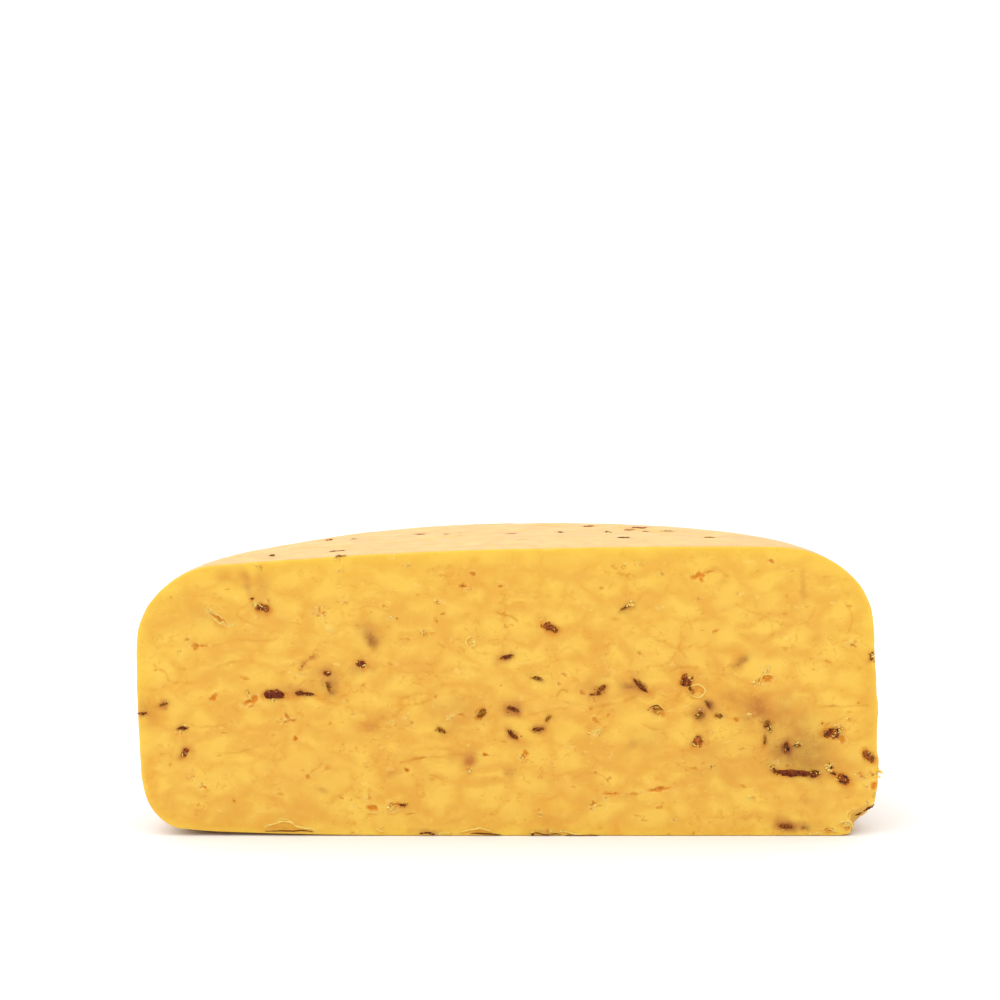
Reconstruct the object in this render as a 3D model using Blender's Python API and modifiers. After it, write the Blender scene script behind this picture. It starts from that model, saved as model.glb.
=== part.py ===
"""Half wheel of marbled cheddar, standing on its flat base with its cut face to the front.

Metres, +Z up. The cut face is the plane at the lowest Y, its normal is -Y, and X runs along the cut.
The origin is the bottom centre of the block's box.
"""

import math

import bmesh
import bpy
from mathutils import Vector

# Driving sizes of the whole wheel, before it is halved.
WHEEL_RADIUS = 0.1007  # the mould's inner radius
WHEEL_HEIGHT = 0.0786  # at the middle of the wheel
TOP_ROUND = (0.0250, 0.0280)  # width and height of the rounded top rim
BASE_ROUND = (0.0108, 0.0135)  # width and height of the tighter base rim
TOP_POWER = 2.3  # superellipse power of the top rim
BASE_POWER = 2.1

# How the rims differ from one end of the cut (+1, right) to the other (-1, left).
TOP_ROUND_SKEW = (0.0035, 0.0020)
BASE_ROUND_SKEW = (-0.0008, -0.0035)

# How the soft wheel settled under its own weight.
TOP_SLOPE = 0.032  # the top rises gently to the right
TOP_DOME = (0.30, 0.04)  # 1/m: the top falls away along the cut, and a little to the back
BELLY = 0.010  # the side bulges by this share of the radius
BELLY_AT = 0.52  # and is widest at this share of the height
LIFT_FROM = -0.022  # left of this X the base curls up off the table
LIFT_GAIN = 0.46  # 1/m

# Fineness of the solid.
TURN_STEPS = 104  # around the whole wheel
FLAT_STEPS = 7
ROUND_STEPS = 8
SIDE_STEPS = 4


def wheel_profile():
    """(radius, height) points from the middle of the top, over the rim, to the middle of the base."""
    (top_w, top_h), (base_w, base_h) = TOP_ROUND, BASE_ROUND
    points = []
    for i in range(FLAT_STEPS):
        points.append(((WHEEL_RADIUS - top_w) * i / FLAT_STEPS, WHEEL_HEIGHT))
    for i in range(ROUND_STEPS + 1):
        a = math.pi / 2 * i / ROUND_STEPS
        points.append(
            (
                WHEEL_RADIUS - top_w + top_w * math.sin(a) ** (2 / TOP_POWER),
                WHEEL_HEIGHT - top_h + top_h * max(math.cos(a), 0) ** (2 / TOP_POWER),
            )
        )
    side_top = WHEEL_HEIGHT - top_h
    for i in range(1, SIDE_STEPS):
        points.append((WHEEL_RADIUS, side_top + (base_h - side_top) * i / SIDE_STEPS))
    for i in range(ROUND_STEPS + 1):
        a = math.pi / 2 * i / ROUND_STEPS
        points.append(
            (
                WHEEL_RADIUS - base_w + base_w * max(math.cos(a), 0) ** (2 / BASE_POWER),
                base_h - base_h * math.sin(a) ** (2 / BASE_POWER),
            )
        )
    for i in range(1, FLAT_STEPS + 1):
        points.append(((WHEEL_RADIUS - base_w) * (1 - i / FLAT_STEPS), 0.0))
    return points


def turned(name, points, steps):
    """The closed solid that a profile sweeps once round the Z axis, as an object with a real mesh."""
    mesh = bpy.data.meshes.new(name + "_profile")
    mesh.from_pydata(
        [(r, 0.0, z) for r, z in points],
        [(i, i + 1) for i in range(len(points) - 1)],
        [],
    )
    guide = bpy.data.objects.new(name + "_profile", mesh)
    bpy.context.scene.collection.objects.link(guide)
    screw = guide.modifiers.new("turn", "SCREW")
    screw.angle = 2 * math.pi
    screw.steps = screw.render_steps = steps
    screw.use_merge_vertices = True
    screw.merge_threshold = 0.00002
    screw.use_normal_calculate = True
    bpy.context.view_layer.update()
    graph = bpy.context.evaluated_depsgraph_get()
    made = bpy.data.meshes.new_from_object(guide.evaluated_get(graph))
    bpy.data.objects.remove(guide)
    return bpy.data.objects.new(name, made)


def reround(value, edge, old, new, far):
    """Rescales the band of width old next to edge to width new, and the rest, out to far, to fit."""
    inward = edge - value
    if abs(inward) <= abs(old):
        return edge - inward * new / old
    return far + (value - far) * ((edge - new) - far) / ((edge - old) - far)


def settled(co):
    """Where a point of the true wheel lies in the uneven, slightly slumped one."""
    radius = math.hypot(co.x, co.y)
    turn = co.x / radius if radius > 1e-9 else 0.0
    top_w, top_h = (s + k * turn for s, k in zip(TOP_ROUND, TOP_ROUND_SKEW))
    base_w, base_h = (s + k * turn for s, k in zip(BASE_ROUND, BASE_ROUND_SKEW))
    middle = (TOP_ROUND[1] * -1 + WHEEL_HEIGHT + BASE_ROUND[1]) / 2
    if co.z >= middle:
        new_radius = reround(radius, WHEEL_RADIUS, TOP_ROUND[0], top_w, 0.0)
        z = reround(co.z, WHEEL_HEIGHT, TOP_ROUND[1], top_h, middle)
    else:
        new_radius = reround(radius, WHEEL_RADIUS, BASE_ROUND[0], base_w, 0.0)
        z = reround(co.z, 0.0, -BASE_ROUND[1], -base_h, middle)
    grow = new_radius / radius if radius > 1e-9 else 1.0
    u = z / WHEEL_HEIGHT
    grow *= 1 - 0.6 * BELLY + BELLY * (1 - ((u - BELLY_AT) / BELLY_AT) ** 2)
    x, y = co.x * grow, co.y * grow
    top = TOP_SLOPE * x - TOP_DOME[0] * x * x - TOP_DOME[1] * y * y
    lift = LIFT_GAIN * min(x - LIFT_FROM, 0.0) ** 2
    return Vector((x, y, z + u**1.5 * top + (1 - u) * lift))


def halve(obj):
    """Cuts the wheel through its axis along X, keeps the half at +Y, and closes the cut face."""
    work = bmesh.new()
    work.from_mesh(obj.data)
    cut = bmesh.ops.bisect_plane(
        work,
        geom=work.verts[:] + work.edges[:] + work.faces[:],
        dist=1e-6,
        plane_co=(0, 0, 0),
        plane_no=(0, -1, 0),
        clear_outer=True,
    )
    rim = [g for g in cut["geom_cut"] if isinstance(g, bmesh.types.BMEdge)]
    bmesh.ops.edgeloop_fill(work, edges=[e for e in rim if e.is_boundary])
    bmesh.ops.recalc_face_normals(work, faces=work.faces)
    work.to_mesh(obj.data)
    work.free()


def principled(name, colour, roughness, subsurface):
    material = bpy.data.materials.new(name)
    material.use_nodes = True
    shader = material.node_tree.nodes["Principled BSDF"]
    shader.inputs["Base Color"].default_value = (*colour, 1)
    shader.inputs["Roughness"].default_value = roughness
    shader.inputs["Metallic"].default_value = 0.0
    shader.inputs["Subsurface Weight"].default_value = subsurface
    shader.inputs["Subsurface Scale"].default_value = 0.002
    return material


def main():
    for obj in list(bpy.data.objects):
        bpy.data.objects.remove(obj)
    food = bpy.data.collections.new("marbled_cheddar_half_wheel")
    bpy.context.scene.collection.children.link(food)

    block = turned("cheddar_block", wheel_profile(), TURN_STEPS)
    for vertex in block.data.vertices:
        vertex.co = settled(vertex.co)
    halve(block)

    # The origin moves to the bottom centre of the block's box.
    corners = [v.co for v in block.data.vertices]
    low = Vector(min(c[i] for c in corners) for i in range(3))
    high = Vector(max(c[i] for c in corners) for i in range(3))
    for vertex in block.data.vertices:
        vertex.co -= Vector(((low.x + high.x) / 2, (low.y + high.y) / 2, low.z))

    block.data.materials.clear()
    block.data.materials.append(
        principled("marbled_cheddar", (0.86, 0.46, 0.09), 0.42, 0.2)
    )
    block.data.shade_smooth()
    block.data.set_sharp_from_angle(angle=math.radians(35))
    food.objects.link(block)


main()
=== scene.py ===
"""Looks of the marbled cheddar half wheel: its cut face, rind, fruit and herb bits, crumbs, floor, light and camera.

Metres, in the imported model's frame: +Z up, the cut face is the plane at the lowest Y and faces -Y.
"""

import math

import bmesh
import bpy
import numpy as np
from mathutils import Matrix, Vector, geometry, kdtree
from mathutils.bvhtree import BVHTree


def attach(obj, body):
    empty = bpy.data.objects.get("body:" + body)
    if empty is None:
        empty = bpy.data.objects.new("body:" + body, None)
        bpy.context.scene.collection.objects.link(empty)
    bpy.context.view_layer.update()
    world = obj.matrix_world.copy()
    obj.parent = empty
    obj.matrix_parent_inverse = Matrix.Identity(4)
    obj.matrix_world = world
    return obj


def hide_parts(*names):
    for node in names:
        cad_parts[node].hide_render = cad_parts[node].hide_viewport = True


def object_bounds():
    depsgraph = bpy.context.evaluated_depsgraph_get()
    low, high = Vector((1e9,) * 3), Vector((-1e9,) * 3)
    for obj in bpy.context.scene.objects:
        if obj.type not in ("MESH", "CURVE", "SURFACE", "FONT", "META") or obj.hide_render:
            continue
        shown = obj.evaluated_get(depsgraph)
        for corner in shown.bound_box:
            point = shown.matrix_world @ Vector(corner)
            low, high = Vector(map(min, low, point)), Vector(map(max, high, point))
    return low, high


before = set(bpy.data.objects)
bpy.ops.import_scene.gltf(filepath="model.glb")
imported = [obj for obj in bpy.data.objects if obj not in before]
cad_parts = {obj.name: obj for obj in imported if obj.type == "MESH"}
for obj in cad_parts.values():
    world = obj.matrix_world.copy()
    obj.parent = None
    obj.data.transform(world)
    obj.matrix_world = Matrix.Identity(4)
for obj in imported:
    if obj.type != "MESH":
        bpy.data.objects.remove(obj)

cad_low, cad_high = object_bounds()

MM = 0.001
SEED = 20713

# ---------------------------------------------------------------- the wheel's form, as in the solid
WHEEL_RADIUS = 0.1007
WHEEL_HEIGHT = 0.0786
TOP_ROUND = (0.0250, 0.0280)
BASE_ROUND = (0.0108, 0.0135)
TOP_POWER = 2.3
BASE_POWER = 2.1
TOP_ROUND_SKEW = (0.0035, 0.0020)
BASE_ROUND_SKEW = (-0.0008, -0.0035)
TOP_SLOPE = 0.032
TOP_DOME = (0.30, 0.04)
BELLY = 0.010
BELLY_AT = 0.52
LIFT_FROM = -0.022
LIFT_GAIN = 0.34  # the skin sags a little below the solid's curl
# How much the ends of the cut stand out from the turned form, by height, both in millimetres.
RIGHT_END = ((0, 0.0), (9, 0.1), (15, 0.6), (20, 0.0), (26, -0.3), (31, 0.2), (36, 0.0), (42, -0.35), (47, -0.8), (52, -1.1), (58, -0.55), (63, 0.3), (69, 0.7), (74, 0.5), (80, 0.0))
LEFT_END = ((0, 0.0), (5, -0.5), (9, -0.5), (15, -0.85), (20, -0.7), (26, -0.65), (31, -0.5), (36, -0.5), (42, -0.3), (52, -0.25), (58, 0.0), (63, -0.3), (69, -1.1), (73, -1.1), (77, -0.5), (80, 0.0))

CUT_Y = cad_low.y
EDGE_ROUND = 0.50 * MM  # rounding of the knife's edge

# ---------------------------------------------------------------- the camera, which also places marks on the face
CAMERA = (-0.00191, CUT_Y - 0.60, 0.142019)
FOCAL_PX = 2229.0
HORIZON_PX = 315.0
PITCH = math.atan((500.0 - HORIZON_PX) / FOCAL_PX)


def on_face(u, v):
    """Where the sight line through a point of the 1000 x 1000 frame meets the cut face, as (x, z)."""
    right, down = (u - 500.0) / FOCAL_PX, (v - 500.0) / FOCAL_PX
    along = math.cos(PITCH) - down * math.sin(PITCH)
    up = -math.sin(PITCH) - down * math.cos(PITCH)
    reach = (CUT_Y - CAMERA[1]) / along
    return CAMERA[0] + right * reach, CAMERA[2] + up * reach


PX = on_face(501, 700)[0] - on_face(500, 700)[0]  # one pixel on the cut face, in metres


# ---------------------------------------------------------------- numbers
def smooth(low, high, value):
    t = np.clip((value - low) / (high - low), 0.0, 1.0)
    return t * t * (3 - 2 * t)


def hashed(ix, iy, iz, seed):
    h = (ix * 374761393 + iy * 668265263 + iz * 1442695041 + seed * 1274126177) & 0xFFFFFFFF
    h = ((h ^ (h >> 13)) * 1274126177) & 0xFFFFFFFF
    return ((h ^ (h >> 16)) & 0xFFFFFF) / 0xFFFFFF


def noise(points, size, seed=0, octaves=1):
    """Smooth noise from -1 to 1 with features of about the given size, at points (n, 3)."""
    points = np.asarray(points, float) / size
    total, gain, weight = 0.0, 1.0, 0.0
    for octave in range(octaves):
        cell = np.floor(points).astype(np.int64)
        f = points - cell
        f = f * f * f * (f * (f * 6 - 15) + 10)
        value = 0.0
        for corner in range(8):
            o = np.array([(corner >> k) & 1 for k in range(3)])
            w = np.prod(np.where(o, f, 1 - f), axis=1)
            value = value + w * hashed(*(cell + o).T, seed + octave * 17)
        total = total + gain * (value * 2 - 1)
        weight += gain
        gain *= 0.5
        points = points * 2.03 + 11.7
    return total / weight


# ---------------------------------------------------------------- the wheel's surface
def reround(value, edge, old, new, far):
    inward = edge - value
    near = edge - inward * new / old
    rest = far + (value - far) * ((edge - new) - far) / ((edge - old) - far)
    return np.where(np.abs(inward) <= abs(old), near, rest)


def settled(points, ends=True):
    """Where points of the true wheel lie in the uneven, slightly slumped one. Arrays (n, 3)."""
    x, y, z = np.asarray(points, float).T
    radius = np.hypot(x, y)
    turn = np.where(radius > 1e-9, x / np.maximum(radius, 1e-9), 0.0)
    top_w, top_h = (s + k * turn for s, k in zip(TOP_ROUND, TOP_ROUND_SKEW))
    base_w, base_h = (s + k * turn for s, k in zip(BASE_ROUND, BASE_ROUND_SKEW))
    middle = (WHEEL_HEIGHT - TOP_ROUND[1] + BASE_ROUND[1]) / 2
    upper = z >= middle
    new_radius = np.where(
        upper,
        reround(radius, WHEEL_RADIUS, TOP_ROUND[0], top_w, 0.0),
        reround(radius, WHEEL_RADIUS, BASE_ROUND[0], base_w, 0.0),
    )
    z = np.where(
        upper,
        reround(z, WHEEL_HEIGHT, TOP_ROUND[1], top_h, middle),
        reround(z, 0.0, -BASE_ROUND[1], -base_h, middle),
    )
    grow = np.where(radius > 1e-9, new_radius / np.maximum(radius, 1e-9), 1.0)
    u = z / WHEEL_HEIGHT
    grow = grow * (1 - 0.6 * BELLY + BELLY * (1 - ((u - BELLY_AT) / BELLY_AT) ** 2))
    x, y = x * grow, y * grow
    top = TOP_SLOPE * x - TOP_DOME[0] * x * x - TOP_DOME[1] * y * y
    lift = LIFT_GAIN * np.minimum(x - LIFT_FROM, 0.0) ** 2
    lift = lift + 0.45 * MM * smooth(-0.078, -0.094, x) * smooth(0.9, 1.0, -turn)
    z = z + np.maximum(u, 0) ** 1.5 * top + (1 - u) * lift
    if ends:
        for side, table in ((1, RIGHT_END), (-1, LEFT_END)):
            out = np.interp(z / MM, *np.array(table).T) * MM
            x = x + side * out * smooth(0.72, 0.97, side * turn)
    return np.stack([x, y, z], axis=1)


def band_profile():
    """(length along, radius, height) of the wheel's section from the flat top over rim and side to the flat base."""
    (top_w, top_h), (base_w, base_h) = TOP_ROUND, BASE_ROUND
    a = np.linspace(0, math.pi / 2, 400)
    sin, cos = np.sin(a), np.clip(np.cos(a), 0, 1)
    rim = np.stack(
        [
            WHEEL_RADIUS - top_w + top_w * sin ** (2 / TOP_POWER),
            WHEEL_HEIGHT - top_h + top_h * cos ** (2 / TOP_POWER),
        ],
        axis=1,
    )
    foot = np.stack(
        [
            WHEEL_RADIUS - base_w + base_w * cos ** (2 / BASE_POWER),
            base_h - base_h * sin ** (2 / BASE_POWER),
        ],
        axis=1,
    )
    line = np.concatenate([rim, foot])
    steps = np.hypot(*np.diff(line, axis=0).T)
    return np.concatenate([[0], np.cumsum(steps)]), line[:, 0], line[:, 1]


BAND_S, BAND_R, BAND_Z = band_profile()
BAND_LENGTH = BAND_S[-1]
TOP_FLAT = WHEEL_RADIUS - TOP_ROUND[0]
BASE_FLAT = WHEEL_RADIUS - BASE_ROUND[0]


def band_point(s, t):
    """True-wheel points of the band: s along the section, t along the wheel's outer edge."""
    angle = t / WHEEL_RADIUS
    radius = np.interp(s, BAND_S, BAND_R)
    return np.stack(
        [radius * np.cos(angle), radius * np.sin(angle), np.interp(s, BAND_S, BAND_Z)],
        axis=1,
    )


def top_point(x, y):
    return np.stack([x, y, np.full_like(x, WHEEL_HEIGHT)], axis=1)


def base_point(x, y):
    return np.stack([x, y, np.zeros_like(x)], axis=1)


_probe = settled(band_point(np.tile(BAND_S, 2), np.repeat([0.0, math.pi * WHEEL_RADIUS], len(BAND_S))), ends=False)
SHIFT = np.array(
    [(_probe[:, 0].min() + _probe[:, 0].max()) / 2 - (cad_low.x + cad_high.x) / 2, -CUT_Y, 0.0]
)


# ---------------------------------------------------------------- meshing of one sheet in its own plane
def inside(points, loop):
    """Which points lie inside the closed loop."""
    x, y = points.T
    result = np.zeros(len(points), bool)
    for (x0, y0), (x1, y1) in zip(loop, np.roll(loop, -1, axis=0)):
        if y0 == y1:
            continue
        crosses = (y0 > y) != (y1 > y)
        result ^= crosses & (x < (x1 - x0) * (y - y0) / (y1 - y0) + x0)
    return result


def near_points(points, others):
    """(distance to, index of) the nearest of others for each point, in 2-D."""
    tree = kdtree.KDTree(len(others))
    for i, p in enumerate(others):
        tree.insert((p[0], p[1], 0.0), i)
    tree.balance()
    found = [tree.find((p[0], p[1], 0.0)) for p in points]
    return np.array([f[2] for f in found]), np.array([f[1] for f in found])


def hex_grid(low, high, step, seed):
    """Slightly jittered points of a triangular grid over a rectangle."""
    rng = np.random.default_rng(seed)
    rows = np.arange(low[1], high[1], step * 0.8660254)
    points = []
    for k, y in enumerate(rows):
        xs = np.arange(low[0] + (k % 2) * step / 2, high[0], step)
        points.append(np.stack([xs, np.full_like(xs, y)], axis=1))
    points = np.concatenate(points)
    return points + rng.uniform(-0.16, 0.16, points.shape) * step


def dense(loop, step):
    out = []
    for a, b in zip(loop, np.roll(loop, -1, axis=0)):
        n = max(1, int(math.ceil(np.hypot(*(b - a)) / step)))
        out.append(a + (b - a) * np.arange(n)[:, None] / n)
    return np.concatenate(out)


def mesh_sheet(loop, steps, detail, rows, clear, seed):
    """Triangles over a closed 2-D loop.

    steps are the grid steps from coarse to fine. detail(points) gives the level that each point needs.
    rows are extra points that are kept as they are, and no grid point comes closer to the loop than clear.
    Returns (points, triangles, which are the loop's points).
    """
    low, high = loop.min(axis=0), loop.max(axis=0)
    fence = dense(loop, 0.2 * MM)
    kept = []
    for level, step in enumerate(steps):
        grid = hex_grid(low, high, step, seed + level)
        wanted = detail(grid) if len(steps) > 1 else np.zeros(len(grid), int)
        grid = grid[wanted == level]
        grid = grid[inside(grid, loop)]
        distance, _ = near_points(grid, fence)
        kept.append(grid[distance > clear + 0.5 * step])
    points = np.concatenate([loop, rows] + kept) if len(rows) else np.concatenate([loop] + kept)
    result = geometry.delaunay_2d_cdt(
        [Vector(p) for p in points], [], [list(range(len(loop)))], 1, 1e-7, True
    )
    made = np.array([tuple(v) for v in result[0]], float)
    faces = np.array([f for f in result[2] if len(f) == 3], np.int64)
    origin = [ids[0] if ids else -1 for ids in result[3]]
    first = np.array([o if 0 <= o < len(loop) else -1 for o in origin])
    exact = np.array(origin) >= 0
    made[exact] = points[np.array(origin)[exact]]
    # The triangulation also fills the outline's hollows, with triangles between its points alone.
    spanning = np.flatnonzero((first[faces] >= 0).all(axis=1))
    outside = ~inside(made[faces[spanning]].mean(axis=1), loop)
    faces = np.delete(faces, spanning[outside], axis=0)
    a, b, c = (made[faces[:, k]] for k in range(3))
    area = (b[:, 0] - a[:, 0]) * (c[:, 1] - a[:, 1]) - (c[:, 0] - a[:, 0]) * (b[:, 1] - a[:, 1])
    faces[area < 0] = faces[area < 0][:, ::-1]
    return made, faces, first


# ---------------------------------------------------------------- marks on the cut face
# Each mark is placed by its point in the 1000 x 1000 frame; sizes are in pixels of the cut face.
BERRY, HERB, PIT, SMUDGE, CRUMBS, RING, SEAM, DOT, STRAND = range(9)

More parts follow.
